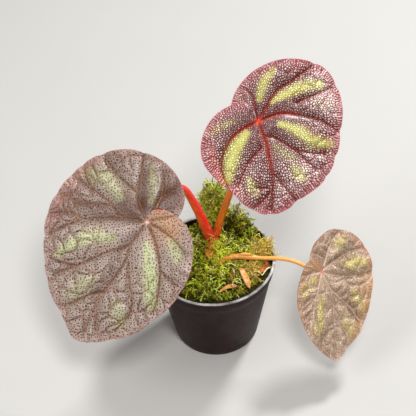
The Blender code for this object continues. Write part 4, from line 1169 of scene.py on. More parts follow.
def edgeHairs(name, leaf, axes, mesh, flat, degrees, under):
    # short hairs that stand out all round the margin
    across, along, normal = axes
    template = hairTemplate(bladeShape["hairLength"] * mm, bladeShape["hairRadius"] * mm)
    points = readPoints(mesh)
    samples = evenSamples(leaf["outline"], leaf["cells"] * 15)
    draw = random.Random(leaf["seed"])
    bm = bmesh.new()
    for before, here, after in zip(samples, samples[1:], samples[2:]):
        spot = flatPoint(*here)
        run = (flatPoint(*after) - flatPoint(*before)).normalized()
        outward = Vector((run.y, -run.x))
        if outward.dot(spot) < 0.0:
            outward = -outward
        away = np.hypot(flat[:, 0] - spot.x, flat[:, 1] - spot.y)
        away += 0.02 * np.abs(degrees - here[0]) + 3.0 * under
        foot = Vector(points[int(np.argmin(away))]) - (across * outward.x + along * outward.y) * 0.15 * mm
        lean = outward + run * draw.uniform(-bladeShape["hairLean"], bladeShape["hairLean"])
        heading = across * lean.x + along * lean.y + normal * draw.uniform(*bladeShape["hairRise"])
        addHair(bm, template, foot, heading, draw.uniform(*bladeShape["hairSize"]))
    material = hairMaterial(name.replace("_", " "), leaf["hairs"])
    finishPiece(meshFrom(bm, name, False), name, [material])
    bpy.data.meshes.remove(template)


def buildBlade(side, leaf, under):
    normal = Vector(leaf["normal"]).normalized()
    across = (Vector((1.0, 0.0, 0.0)) - normal * normal.x).normalized()
    along = normal.cross(across)
    light = Vector(bladeShape["light"])
    rise = light / light.dot(normal)
    slope = np.array((rise.dot(across), rise.dot(along)))
    name = "blade_" + side
    mesh = meshFrom(layBlade(leaf), name)
    flat = readPoints(mesh)[:, :2]
    degrees = readValues(mesh, "degrees")
    below = readValues(mesh, "under")
    fields = bladeFields(leaf, flat, degrees)
    height, broad, drop = (fields.pop(label) for label in ("height", "broad", "drop"))
    height = np.where(below > 0.5, broad, height)
    place = flat + height[:, None] * slope
    height = height - below * drop
    points = np.array(leaf["attach"]) + np.outer(place[:, 0], across) + np.outer(place[:, 1], along)
    points += np.outer(height, normal)
    mesh.vertices.foreach_set("co", (points * mm).ravel())
    mesh.update()
    for label, values in fields.items():
        writeValues(mesh, label, values)
    writeValues(mesh, "flat", np.column_stack([flat, np.zeros(len(flat))]) * mm)
    material = bladeMaterial(name + " surface", leaf)
    piece = finishPiece(mesh, name, [material, under], ["leaf_" + side])
    piece.data.set_sharp_from_angle(angle=math.radians(70))
    edgeHairs(name + "_hairs", leaf, (across, along, normal), mesh, flat, degrees, below)


def hairMaterial(name, colour):
    material, tree, shader = newMaterial(name, 0.5, 0.5)
    cloud = noiseValue(tree, objectPlace(tree), 4.0)
    pale = tone(*colour)
    feed(tree, shader.inputs["Base Color"], mixColour(tree, cloud, pale, darker(pale, 0.6)))
    return material


bladeUnderside = undersideMaterial()
for bladeSide, bladeLeaf in blades.items():
    buildBlade(bladeSide, bladeLeaf, bladeUnderside)
    print("blade", bladeSide, "ready")


# Leafstalks and creeping stem

stalkShape = {"sides": 7, "knobble": 0.035, "footReach": (2.0, 16.0), "roughness": 0.43, "seed": 31,
              "hairs": (232, 190, 160), "hairLength": 0.9, "hairRadius": 0.06, "hairLean": (-0.2, 0.5),
              "hairSize": (0.5, 1.2), "hairsLow": 1.4}

# each route is a list of x, y, z and radius
# flush is the way that the lit side of the painted light and shade faces
stalks = {
    "left": {
        "slot": "petiole_red", "hairs": 150, "flush": (0.75, -0.1, 0.6),
        "route": [(-0.9, 11.8, 54.0, 2.9), (-3.4, 11.0, 63.6, 2.6), (-6.0, 10.3, 74.0, 2.35),
                  (-9.1, 9.3, 84.3, 2.1), (-12.1, 7.2, 93.4, 1.9), (-15.8, 3.6, 98.4, 1.8),
                  (-20.5, -1.6, 97.6, 1.8), (-25.8, -7.2, 93.2, 1.7), (-29.2, -10.4, 90.2, 1.65),
                  (-30.6, -11.3, 91.1, 1.7)],
        "colours": {"Lit": (232, 40, 22), "Shade": (236, 104, 16), "Foot": (222, 62, 36),
                    "Fleck": (246, 180, 150)},
    },
    "top": {
        "slot": "petiole_orange", "hairs": 110, "flush": (-0.6, -0.4, 0.7),
        "route": [(2.6, 14.0, 54.5, 2.1), (4.2, 13.8, 63.2, 1.95), (6.6, 13.3, 72.2, 1.85),
                  (8.9, 13.5, 80.2, 1.8), (10.7, 13.8, 86.4, 1.7), (14.2, 14.4, 96.5, 1.6),
                  (18.6, 15.2, 108.9, 1.6), (22.6, 16.4, 120.4, 1.5), (24.1, 17.0, 125.0, 1.5),
                  (24.4, 16.5, 127.3, 1.55)],
        "colours": {"Lit": (244, 140, 24), "Shade": (230, 110, 14), "Foot": (226, 80, 28),
                    "Fleck": (248, 190, 120)},
    },
    "right": {
        "slot": "petiole_amber", "hairs": 100, "flush": (-0.1, -0.5, 0.8),
        "route": [(2.6, -5.2, 51.6, 1.15), (4.9, -4.7, 53.9, 1.1), (8.3, -4.2, 55.5, 1.15),
                  (13.4, -4.0, 55.9, 1.4), (18.5, -4.2, 55.0, 1.35), (23.4, -4.4, 54.2, 1.1),
                  (32.4, -5.0, 53.9, 1.05), (38.4, -6.0, 53.2, 1.0), (43.3, -7.6, 51.9, 1.0),
                  (48.2, -9.6, 50.0, 1.0), (51.8, -10.9, 48.4, 1.0), (53.4, -11.7, 49.2, 1.05)],
        "colours": {"Lit": (224, 152, 62), "Shade": (202, 114, 24), "Foot": (200, 120, 34),
                    "Fleck": (248, 226, 180)},
    },
}

creepingStem = {
    "route": [(0.9, 14.5, 51.2, 2.4), (0.6, 11.0, 51.6, 3.4), (0.2, 6.0, 50.6, 2.9), (1.2, 0.0, 50.2, 2.7),
              (2.4, -5.6, 50.2, 1.9)],
    # the middle, radius and half length of each bud
    "buds": [((-2.4, 1.8, 51.9), 1.8, 3.4), ((-1.2, 5.6, 53.2), 1.7, 2.4), ((3.4, -8.4, 51.8), 1.1, 1.9)],
    "budTurn": (20, 10), "frontBud": [(-2.6, 3.2, 52.8, 2.0), (-2.4, 0.0, 52.6, 2.0)],
    "rings": (0.06, 1.3), "knobbles": ((0.6, 0.7), (1.8, 0.4)), "seed": 3, "clearance": 2.7,
    # flush is the way that the lit side of the painted light and shade faces
    "flush": (0.2, -0.5, 0.8), "roughness": 0.65,
    "colours": {"Lit": (196, 112, 40), "Shade": (136, 84, 26), "Foot": (180, 96, 32),
                "Fleck": (214, 168, 96)},
}


def stalkGroup():
    group, given, made = makeGroup("stalk skin", tones(stalks["left"]["colours"]))
    skin = attribute(group, "skin", "Vector")
    atFoot = attribute(group, "foot")
    streaks = noiseValue(group, skin, 1.2, 3.0)
    cloud = noiseValue(group, objectPlace(group), 3.5, 3.0)
    # Lit and Shade are mixed by how much the skin faces the lit side: painted light and shade, with the left
    # stalk's red and orange sides also its own colour
    flush = times(group, calc(group, "SUBTRACT", streaks, 0.5), 0.9, attribute(group, "flush"))
    colour = mixColour(group, between(group, flush, 0.3, 0.75), given["Shade"], given["Lit"])
    colour = mixColour(group, times(group, atFoot, between(group, cloud, 0.2, 0.6)), colour, given["Foot"])
    spots = between(group, cellGap(group, skin, 1.1), 0.3, 0.12)
    spots = times(group, spots, times(group, atFoot, 0.55, 0.2))
    feed(group, made["Color"], mixColour(group, spots, colour, given["Fleck"]))
    feed(group, made["Height"], calc(group, "ADD", streaks, spots))
    return group


stalkSkin = stalkGroup()


def stalkMaterial(name, colours, roughness, coat=0.15):
    material, tree, shader = newMaterial(name, roughness, 0.4)
    skin = useGroup(tree, stalkSkin, tones(colours))
    feed(tree, shader.inputs["Base Color"], skin["Color"])
    shader.inputs["Coat Weight"].default_value = coat
    shader.inputs["Coat Roughness"].default_value = 0.25
    addBump(tree, shader, skin["Height"], 0.12, 0.7)
    return material


def skinFields(mesh, path, litWay):
    # how far along the stalk each point lies, and how much it faces the lit side of the painted light and
    # shade
    points = readPoints(mesh) / mm
    route = np.array(path)[:, :3]
    lengths = np.concatenate([[0.0], np.cumsum(np.linalg.norm(np.diff(route, axis=0), axis=1))])
    nearest = np.argmin(np.linalg.norm(points[:, None, :] - route[None, :, :], axis=2), axis=1)
    outward = points - route[nearest]
    outward /= np.maximum(np.linalg.norm(outward, axis=1), 1e-6)[:, None]
    run = lengths[nearest]
    flush = outward @ (np.array(litWay) / np.linalg.norm(litWay)) * 0.5 + 0.5
    writeValues(mesh, "flush", flush)
    writeValues(mesh, "foot", 1.0 - fade(run, *stalkShape["footReach"]))
    writeValues(mesh, "skin", outward * 2.0 * mm + np.outer(run * 0.3, (1.0, 0.7, 0.4)) * mm)


def stalkHairs(name, path, count, seed, material):
    template = hairTemplate(stalkShape["hairLength"] * mm, stalkShape["hairRadius"] * mm)
    draw = random.Random(seed)
    bm = bmesh.new()
    for _ in range(count):
        k = int(draw.random() ** stalkShape["hairsLow"] * (len(path) - 3)) + 1
        centre = Vector(path[k][:3])
        way = (Vector(path[k + 1][:3]) - Vector(path[k - 1][:3])).normalized()
        outward = way.orthogonal().normalized()
        outward.rotate(Matrix.Rotation(draw.uniform(0.0, math.tau), 3, way))
        foot = centre + outward * path[k][3] * 0.95
        heading = outward + way * draw.uniform(*stalkShape["hairLean"])
        addHair(bm, template, foot * mm, heading, draw.uniform(*stalkShape["hairSize"]))
    finishPiece(meshFrom(bm, name, False), name, [material])
    bpy.data.meshes.remove(template)


def buildStalks():
    hairs = hairMaterial("stalk hairs", stalkShape["hairs"])
    for index, (side, stalk) in enumerate(stalks.items()):
        path = [(x, y, z, radius * (1.0 + stalkShape["knobble"] * noise.noise(Vector((x, y, z)) * 0.35)))
                for x, y, z, radius in denseCurve(stalk["route"], 4)]
        name = "stalk_" + side
        mesh = tubeMesh(name, [path], stalkShape["sides"], 3)
        path = denseCurve(path, 3)
        skinFields(mesh, path, stalk["flush"])
        material = stalkMaterial(name + " skin", stalk["colours"], stalkShape["roughness"])
        finishPiece(mesh, name, [material], ["petiole_" + side])
        stalkHairs(name + "_hairs", path, stalk["hairs"], stalkShape["seed"] + index, hairs)


def buildCreepingStem():
    path = denseCurve(creepingStem["route"], 6)
    swell, pace = creepingStem["rings"]
    rings = [(x, y, z, radius * (1.0 + swell * math.sin(k * pace)))
             for k, (x, y, z, radius) in enumerate(path)]
    mesh = tubeMesh("creeping_stem", [rings], 8, 3)
    bm = bmesh.new()
    bm.from_mesh(mesh)
    aside, upwards = (math.radians(angle) for angle in creepingStem["budTurn"])
    turn = Matrix.Rotation(aside, 4, "Z") @ Matrix.Rotation(upwards, 4, "X")
    for centre, radius, length in creepingStem["buds"]:
        size = Matrix.Diagonal((radius * mm, length * mm, radius * mm, 1.0))
        bmesh.ops.create_uvsphere(bm, u_segments=24, v_segments=16, radius=1.0,
                                  matrix=Matrix.Translation(Vector(centre) * mm) @ turn @ size)
    noise.seed_set(creepingStem["seed"])
    for vert in bm.verts:
        place = vert.co / mm
        for scale, reach in creepingStem["knobbles"]:
            vert.co += noise.noise_vector(place * scale) * (reach * mm)
    bm.to_mesh(mesh)
    bm.free()
    skinFields(mesh, path, creepingStem["flush"])
    material = stalkMaterial("creeping stem skin", creepingStem["colours"], creepingStem["roughness"], 0.0)
    finishPiece(mesh, "creeping_stem", [material], ["rhizome"])


buildStalks()
buildCreepingStem()
print("stalks ready")


# Moss shoots

mossLook = {
    "length": 8.0, "leafletWidth": 0.46, "kinds": 8, "wallBand": 3.0, "seed": 4, "edge": 1.6, "frontTo": 2.0,
    "dark": (68, 80, 2), "green": (174, 178, 24), "lime": (214, 240, 34), "pale": (244, 250, 132),
    # the root colour is painted shade, laid towards the foot of each shoot
    "brown": (228, 182, 98), "root": (30, 30, 4),
    "shoot": {"stem": 0.3, "steps": 4, "leaflets": 9, "leafletLength": 3.6, "turns": (0.0, 1.0), "free": 0.4},
    "curl": {"stem": 0.3, "steps": 9, "leaflets": 4, "leafletLength": 1.7, "turns": (1.5, 3.6), "free": 1.6},
    # ranges of lean, size, lightness and brownness, some of them on top of what the place gives
    "bedShoots": {"count": 1400, "sink": 1.0, "lean": (0.3, 1.7), "scale": (0.45, 0.95), "wallScale": 0.85,
                  "tint": (-0.6, 0.22), "age": (0.3, 1.2)},
    "bedCurls": {"count": 640, "lift": (0.4, 1.6), "lean": (0.4, 1.5), "scale": (0.6, 1.15),
                 "tint": (0.15, 0.75), "age": (0.4, 1.2), "slope": 0.8, "past": 1.5, "leanIn": 4.0},
    "deadCurls": {"count": 260, "place": (20.0, -10.0), "spread": 4.5, "lift": (0.6, 2.0), "lean": (0.6, 1.5),
                  "scale": (0.5, 0.9), "tint": (0.5, 1.0), "age": (0.55, 1.0), "slope": 0.7, "past": 1.0,
                  "leanIn": 4.0},
    # the tuft's tint is set high: partly its own lime and partly painted light against the shade of the top
    # blade
    "tuft": {"shoots": 360, "curls": 170, "shootsAt": 0.48, "curlsAt": 0.9, "lowest": -0.75, "span": 1.7,
             "light": 0.88, "topLight": 0.14, "rise": (0.1, 1.5), "scale": (0.4, 0.95),
             "tint": (-0.25, 0.2), "age": (0.0, 0.06)},
    "mound": {"count": 110, "place": ((26.0, 2.6), (3.5, 3.4)), "inside": 29.0, "drawnIn": 28.0,
              "lift": (-0.3, 1.2), "lean": (-0.9, 0.6), "rise": (0.5, 1.1), "scale": (0.45, 0.85),
              "tint": (0.5, 0.95), "age": (0.5, 1.0)},
    "foot": {"count": 36, "place": (3.6, -6.6), "reach": (3.4, 2.4), "lift": 0.6, "lean": (0.1, 0.7),
             "scale": (0.5, 0.75), "tint": (-0.2, 0.25), "age": (0.0, 0.3)},
    "cover": {"count": 150, "turn": (-1.5, 1.5), "along": (-1.5, 1.5), "sink": 0.2, "rise": (0.15, 0.9),
              "scale": (0.45, 0.8), "tint": (-0.2, 0.25), "age": (0.0, 0.4)},
    # how often a shoot of the bed is lighter or browner than the rest, and by how much
    "odd": 0.14, "oddTint": 0.4, "oddAge": 0.45,
    # x, y and spread of the browner places, of the deeper green at the left of the front that is partly
    # painted shadow, and of the painted light in the middle, and the heights where they set in
    "crest": (13.5, 22.0, 30.0), "brownMound": (27.5, 2.0, 42.0), "brownSide": (21.0, -9.0, 70.0),
    "deepAndShadedSide": (-14.0, -10.0, 130.0), "litMiddle": (5.0, 14.0, 60.0),
    "crestRise": (57.0, 63.0), "lightRise": (54.0, 60.0), "tint": 0.42, "tintWave": 0.14,
}


def mossMaterial():
    material, tree, shader = newMaterial("moss", 0.6, 0.25)
    place = objectPlace(tree)
    cloud = noiseValue(tree, place, 3.5, 2.0)
    tint = times(tree, calc(tree, "SUBTRACT", cloud, 0.5), 0.9, attribute(tree, "tint"))
    stops = ((0.0, "dark"), (0.35, "green"), (0.7, "lime"), (1.0, "pale"))
    colour = colourRamp(tree, tint, [(position, tone(*mossLook[label])) for position, label in stops])
    colour = mixColour(tree, attribute(tree, "age"), colour, tone(*mossLook["brown"]))
    # darker towards the foot of each shoot: painted shade deep in the mat
    footShade = between(tree, attribute(tree, "tip"), 0.8, 0.05)
    feed(tree, shader.inputs["Base Color"],
         mixColour(tree, times(tree, footShade, 0.9), colour, tone(*mossLook["root"])))
    return material


def mossShoot(draw, look, turn):
    # a thin stem bent round by turn radians with small leaves round it, its foot at the origin
    length = mossLook["length"]
    bm = bmesh.new()
    tip = bm.verts.layers.float.new("tip")
    bmesh.ops.create_cone(bm, cap_ends=True, segments=3, radius1=look["stem"], radius2=look["stem"] * 0.5,
                          depth=length, matrix=Matrix.Translation((0.0, 0.0, length / 2)))
    sides = [edge for edge in bm.edges if abs(edge.verts[0].co.z - edge.verts[1].co.z) > length / 2]
    bmesh.ops.subdivide_edges(bm, edges=sides, cuts=look["steps"] - 1, use_grid_fill=True)
    for k in range(look["leaflets"]):
        share = 0.15 + 0.83 * k / (look["leaflets"] - 1)
        long = look["leafletLength"] * (1.0 - 0.4 * share) * draw.uniform(0.8, 1.15)
        lean = math.radians(draw.uniform(35.0, 65.0) * (1.0 - 0.4 * share))
        place = (Matrix.Translation((0.0, 0.0, length * share))
                 @ Matrix.Rotation(goldenTurn * k + draw.uniform(-0.4, 0.4), 4, "Z")
                 @ Matrix.Rotation(lean, 4, "Y")
                 @ Matrix.Diagonal((1.0, 0.6, 1.0, 1.0)) @ Matrix.Translation((0.0, 0.0, long / 2)))
        made = bmesh.ops.create_cone(bm, cap_ends=True, segments=3, radius1=mossLook["leafletWidth"],
                                     radius2=0.0, depth=long, matrix=place)["verts"]
        apex = max(made, key=lambda vert: (vert.co - place @ Vector((0.0, 0.0, -long / 2))).length)
        apex[tip] = 1.0
    for vert in bm.verts:
        share = vert.co.z / length
        vert[tip] = max(vert[tip], min(max(share, 0.0), 1.0))
        if turn > 0.0 and share > 0.0:
            angle = turn * share
            away = length / turn - vert.co.x
            vert.co = Vector((length / turn - away * math.cos(angle), vert.co.y, away * math.sin(angle)))
        vert.co *= mm
    return meshFrom(bm, "moss_shoot")


def mossKinds(draw, look):
    start, end = look["turns"]
    turns = [start + (end - start) * k / (mossLook["kinds"] - 1) for k in range(mossLook["kinds"])]
    return {"meshes": [mossShoot(draw, look, turn) for turn in turns], "free": look["free"]}


def stemGap(point, routes):
    # distance in mm from a point to the skin of the nearest of some routes of points and radii
    nearest = 99.0
    for route in routes:
        for (start, startRadius), (end, endRadius) in zip(route, route[1:]):
            run = end - start
            share = min(max((point - start).dot(run) / run.length_squared, 0.0), 1.0)
            radius = startRadius + (endRadius - startRadius) * share
            nearest = min(nearest, (point - start - run * share).length - radius)
    return nearest


def heap(x, y, middleX, middleY, spread):
    # 1 at a middle, fading round it
    return math.exp(-((x - middleX) ** 2 + (y - middleY) ** 2) / spread)


def mossAge(x, y, z):
    # how brown the moss is, more on the two mounds at the right
    crest = heap(x, y, *mossLook["crest"]) * fade(z, *mossLook["crestRise"])
    mound = heap(x, y, *mossLook["brownMound"])
    side = heap(x, y, *mossLook["brownSide"])
    return max(0.4 * crest, 0.8 * mound, 0.8 * side, 0.06)


def mossTint(x, y, z):
    # how light the green is: lighter higher up, with painted light behind the stalks and a deeper green at
    # the left of the front that is partly painted shadow of the left blade
    base = mossLook["tint"] + mossLook["tintWave"] * math.sin(x * 0.33) * math.cos(y * 0.29 + 1.0)
    base += 0.20 * fade(z, *mossLook["lightRise"])
    # partly a deeper green and partly painted shadow of the left blade
    base -= 0.5 * heap(x, y, *mossLook["deepAndShadedSide"])
    # painted light where the top blade shades the moss behind the stalks
    return base + 0.25 * heap(x, y, *mossLook["litMiddle"])


def mossSlope(x, y):
    return Vector((mossHeight(x - 0.5, y) - mossHeight(x + 0.5, y),
                   mossHeight(x, y - 0.5) - mossHeight(x, y + 0.5), 1.0)).normalized()


def plantShoot(bm, draw, kinds, foot, heading, scale, tint, age):
    # adds one shoot, unless it would run into a stalk or a scale
    heading = heading.normalized()
    tall = mossLook["length"] * scale
    if min(stemGap(foot + heading * tall * share, keepClear) for share in (0.0, 0.45, 0.9)) < kinds["free"]:
        return
    turn = turnTo(heading) @ Matrix.Rotation(draw.uniform(0.0, math.tau), 4, "Z")
    matrix = Matrix.Translation(foot * mm) @ turn @ Matrix.Scale(scale, 4)
    addCopy(bm, draw.choice(kinds["meshes"]), matrix, tint=tint, age=min(age, 1.0))


def bedPlace(draw, k, count):
    # even places all over the bed, and how far each is from the middle
    radius = (potInner(mossShape["level"]) - mossLook["edge"]) * math.sqrt((k + 0.5) / count)
    x = radius * math.cos(goldenTurn * k) + draw.uniform(-0.3, 0.3)
    y = radius * math.sin(goldenTurn * k) + draw.uniform(-0.3, 0.3)
    return x, y, radius


def inwards(draw, x, y, radius):
    # a lean away from the pot's wall
    inward = Vector((-x / radius, -y / radius, 0.0))
    return inward * draw.uniform(0.2, 1.0) + Vector((-inward.y, inward.x, 0.0)) * draw.uniform(-0.7, 0.7)


def sideways(draw, least, most):
    way = draw.uniform(0.0, math.tau)
    return Vector((math.cos(way), math.sin(way), 0.0)) * draw.uniform(least, most)


def leanFrom(draw, x, y, radius, edge, look):
    # a lean away from the wall beyond edge, and any way within it
    return inwards(draw, x, y, radius) if radius > edge else sideways(draw, *look["lean"])


def plantBed(draw, patches, shoots, curls):
    edge = potInner(mossShape["level"]) - mossLook["edge"] - mossLook["wallBand"]
    odd = mossLook["odd"]
    look = mossLook["bedShoots"]
    for k in range(look["count"]):
        x, y, radius = bedPlace(draw, k, look["count"])
        foot = Vector((x, y, mossHeight(x, y) - look["sink"]))
        if stemGap(foot, creepingRoutes) < 0.0:
            continue
        lean = leanFrom(draw, x, y, radius, edge, look)
        scale = draw.uniform(*look["scale"]) * (look["wallScale"] if radius > edge else 1.0)
        tint = mossTint(x, y, foot.z + look["sink"]) + draw.uniform(*look["tint"])
        tint += mossLook["oddTint"] if draw.random() < odd else 0.0
        age = mossAge(x, y, foot.z + look["sink"]) * draw.uniform(*look["age"])
        age += mossLook["oddAge"] if draw.random() < odd else 0.0
        patch = patches["moss_front" if y < mossLook["frontTo"] else "moss_back"]
        plantShoot(patch, draw, shoots, foot, mossSlope(x, y) + lean, scale, tint, age)
    look = mossLook["bedCurls"]
    for k in range(look["count"]):
        x, y, radius = bedPlace(draw, k, look["count"])
        if radius > edge + look["past"]:
            continue
        foot = Vector((x, y, mossHeight(x, y) + draw.uniform(*look["lift"])))
        lean = leanFrom(draw, x, y, radius, edge - look["leanIn"], look)
        tint = mossTint(x, y, foot.z) + draw.uniform(*look["tint"])
        age = mossAge(x, y, foot.z) * draw.uniform(*look["age"])
        patch = patches["moss_front" if y < mossLook["frontTo"] else "moss_back"]
        heading = mossSlope(x, y) * look["slope"] + lean
        plantShoot(patch, draw, curls, foot, heading, draw.uniform(*look["scale"]), tint, age)
    look = mossLook["deadCurls"]
    for _ in range(look["count"]):
        # dead strands at the right of the front
        x, y = (draw.gauss(middle, look["spread"]) for middle in look["place"])
        radius = math.hypot(x, y)
        if radius < edge + look["past"]:
            foot = Vector((x, y, mossHeight(x, y) + draw.uniform(*look["lift"])))
            lean = leanFrom(draw, x, y, radius, edge - look["leanIn"], look)
            heading = mossSlope(x, y) * look["slope"] + lean
            scale, tint, age = (draw.uniform(*look[label]) for label in ("scale", "tint", "age"))
            plantShoot(patches["moss_front"], draw, curls, foot, heading, scale, tint, age)


def plantTuft(draw, bm, shoots, curls):
    look = mossLook["tuft"]
    layers = ((shoots, look["shoots"], look["shootsAt"]), (curls, look["curls"], look["curlsAt"]))
    for kinds, count, reach in layers:
        for k in range(count):
            height = look["lowest"] + look["span"] * (k + 0.5) / count
            ring = math.sqrt(max(1.0 - height * height, 0.0))
            unit = Vector((ring * math.cos(goldenTurn * k), ring * math.sin(goldenTurn * k), height))
            heading = Vector((unit.x, unit.y, draw.uniform(*look["rise"])))
            # a high tint, rising towards the top: partly the tuft's own lime and partly painted light against
            # the shade of the top blade
            tint = look["light"] + look["topLight"] * height + draw.uniform(*look["tint"])
            scale, age = (draw.uniform(*look[label]) for label in ("scale", "age"))
            plantShoot(bm, draw, kinds, tuftPoint(unit, reach), heading, scale, tint, age)


def plantMound(draw, bm, shoots, curls):
    # taller yellow-brown moss against the wall, over the thin stalk
    look = mossLook["mound"]
    kinds = {"meshes": shoots["meshes"] + curls["meshes"], "free": shoots["free"]}
    for _ in range(look["count"]):
        place = Vector([draw.gauss(middle, spread) for middle, spread in look["place"]])
        if place.length > look["inside"]:
            place *= look["drawnIn"] / place.length
        foot = Vector((place.x, place.y, mossHeight(place.x, place.y) + draw.uniform(*look["lift"])))
        heading = Vector([draw.uniform(*look[label]) for label in ("lean", "lean", "rise")])
        scale, tint, age = (draw.uniform(*look[label]) for label in ("scale", "tint", "age"))
        plantShoot(bm, draw, kinds, foot, heading, scale, tint, age)


def plantFoot(draw, bm, shoots):
    # moss round the foot of the thin stalk
    look = mossLook["foot"]
    for k in range(look["count"]):
        x = look["place"][0] + look["reach"][0] * math.cos(goldenTurn * k)
        y = look["place"][1] + look["reach"][1] * math.sin(goldenTurn * k)
        foot = Vector((x, y, mossHeight(x, y) + look["lift"]))
        heading = mossSlope(x, y) + sideways(draw, *look["lean"])
        scale, tint, age = (draw.uniform(*look[label]) for label in ("scale", "tint", "age"))
        plantShoot(bm, draw, shoots, foot, heading, scale, mossTint(x, y, foot.z) + tint, age)


def plantCover(draw, bm, shoots):
    # moss that has grown over the creeping stem
    look = mossLook["cover"]
    creeping = creepingRoutes[0]
    for _ in range(look["count"]):
        at = draw.randrange(len(creeping) - 1)
        centre, radius = creeping[at]
        run = (creeping[at + 1][0] - centre).normalized()
        outward = Matrix.Rotation(draw.uniform(*look["turn"]), 3, run) @ Vector((0.0, 0.0, 1.0))
        foot = centre + run * draw.uniform(*look["along"]) + outward * (radius - look["sink"])
        flat = run * draw.uniform(-1.0, 1.0) + run.cross(outward) * draw.uniform(-1.0, 1.0)
        heading = flat.normalized() + outward * draw.uniform(*look["rise"])
        tint = mossTint(foot.x, foot.y, foot.z) + draw.uniform(*look["tint"])
        scale, age = (draw.uniform(*look[label]) for label in ("scale", "age"))
        plantShoot(bm, draw, shoots, foot, heading, scale, tint, age)


def buildMoss():
    draw = random.Random(mossLook["seed"])
    shoots = mossKinds(draw, mossLook["shoot"])
    curls = mossKinds(draw, mossLook["curl"])
    material = mossMaterial()
    patches = {name: bmesh.new() for name in ("moss_front", "moss_back", "moss_tuft")}
    plantBed(draw, patches, shoots, curls)
    plantTuft(draw, patches["moss_tuft"], shoots, curls)
    plantMound(draw, patches["moss_back"], shoots, curls)
    plantFoot(draw, patches["moss_front"], shoots)
    plantCover(draw, patches["moss_front"], shoots)
    for name, bm in patches.items():
        finishPiece(meshFrom(bm, name, False), name, [material], ["moss"])
    for kind in shoots["meshes"] + curls["meshes"]:
        bpy.data.meshes.remove(kind)


# Dry scales, pale strands and litter on the moss

dryLook = {
    "scales": {
        "dry_scale_front": {"points": [(13.0, -9.4), (15.2, -15.0), (17.2, -22.3)], "width": 3.4,
                            "Pale": (240, 190, 128), "Deep": (204, 116, 48)},
        "dry_scale_thin": {"points": [(2.2, -23.6), (6.4, -21.8), (11.0, -21.2)], "width": 1.9,
                           "Pale": (236, 188, 116), "Deep": (204, 106, 42)},
        "dry_scale_rim": {"points": [(27.2, -4.6), (25.4, -9.0), (22.0, -12.4)], "width": 2.8,
                          "Pale": (196, 112, 44), "Deep": (124, 52, 16)},
    },
    "thickness": 0.35, "lift": 1.9, "curl": 1.1, "columns": 28, "rows": 8,
    "clearHeight": 2.6, "clearRadii": (0.8, 1.6, 0.8),
    # routes of x, y, z and radius
    "strands": [
        [(9.0, -9.1, 53.0, 0.3), (9.6, -12.5, 54.6, 0.4), (11.4, -15.9, 53.4, 0.12)],
        [(23.7, -15.6, 53.4, 0.25), (26.4, -12.4, 54.6, 0.35), (29.0, -10.5, 54.0, 0.12)],
        [(-8.6, 11.4, 50.5, 0.2), (-8.2, 13.4, 53.6, 0.28), (-6.2, 14.4, 55.6, 0.1)],
        [(11.0, 24.0, 63.0, 0.2), (14.0, 23.0, 65.2, 0.24), (18.4, 21.4, 64.4, 0.1)],
        [(12.0, 21.0, 63.0, 0.18), (15.5, 19.6, 65.4, 0.2), (19.6, 18.0, 62.4, 0.1)],
    ],
    "seed": 17,
    "loose": {"count": 22, "turns": (-2.6, 1.1), "radii": (6.0, 26.0), "long": (3.0, 7.0),
              "bend": (-1.5, 1.5), "lift": 2.2, "arch": 1.4, "radius": 0.28, "clear": 0.4, "inside": 29.0,
              "colours": ((236, 230, 196), (196, 176, 110))},
    "litter": {"count": 26, "turns": (-1.5, 0.5), "radii": (9.0, 27.0), "long": (1.6, 4.2),
               "turn": (-0.6, 0.6), "width": (0.7, 1.5), "lift": (1.6, 2.6), "curl": (0.2, 0.8),
               "cells": (8, 3), "clear": 1.0, "inside": 28.6, "colours": ((198, 128, 52), (112, 50, 16))},
}


def dryGroup():
    group, given, made = makeGroup("dry fibre", {"Pale": (0.8, 0.6, 0.4, 1.0), "Deep": (0.4, 0.2, 0.1, 1.0)})
    place = objectPlace(group)
    fibres = noiseValue(group, place, 0.35, 2.0)
    share = times(group, fibres, 0.4, times(group, noiseValue(group, place, 1.8, 3.0), 0.8))
    colour = mixColour(group, between(group, share, 0.4, 0.85), given["Pale"], given["Deep"])
    feed(group, made["Color"], colour)
    feed(group, made["Height"], fibres)
    return group


dryFibre = dryGroup()


def dryMaterial(name, pale, deep):
    material, tree, shader = newMaterial(name, 0.6, 0.35, 0.1)
    fibre = useGroup(tree, dryFibre, {"Pale": tone(*pale), "Deep": tone(*deep)})
    feed(tree, shader.inputs["Base Color"], fibre["Color"])
    addBump(tree, shader, fibre["Height"], 0.1)
    return material


def layScale(points, width, lift, columns, rows, curl):
    # a thin scale, pointed at both ends and rolled up at its sides, that lies along the moss
    bm = bmesh.new()
    bmesh.ops.create_grid(bm, x_segments=columns, y_segments=rows, size=1.0)
    route = denseCurve(points, columns)
    for vert in bm.verts:
        share = (vert.co.x + 1.0) / 2.0
        side = vert.co.y
        k = min(int(share * (len(route) - 1)), len(route) - 2)
        place = Vector(route[k]).lerp(Vector(route[k + 1]), share * (len(route) - 1) - k)
        heading = (Vector(route[k + 1]) - Vector(route[k])).normalized()
        reach = width * (0.06 + 0.94 * math.sin(math.pi * share) ** 0.8)
        place += Vector((-heading.y, heading.x)) * side * reach / 2
        ridge = 0.10 * math.cos(side * 9.0) + 0.25 * math.sin(share * 8.0 + side)
        height = mossHeight(place.x, place.y) + lift + curl * side * side + ridge
        vert.co = Vector((place.x, place.y, height)) * mm
    doubled = bmesh.ops.extrude_face_region(bm, geom=bm.faces[:])["geom"]
    lower = [item for item in doubled if isinstance(item, bmesh.types.BMVert)]
    bmesh.ops.translate(bm, verts=lower, vec=(0.0, 0.0, -dryLook["thickness"] * mm))
    return meshFrom(bm, "scale")


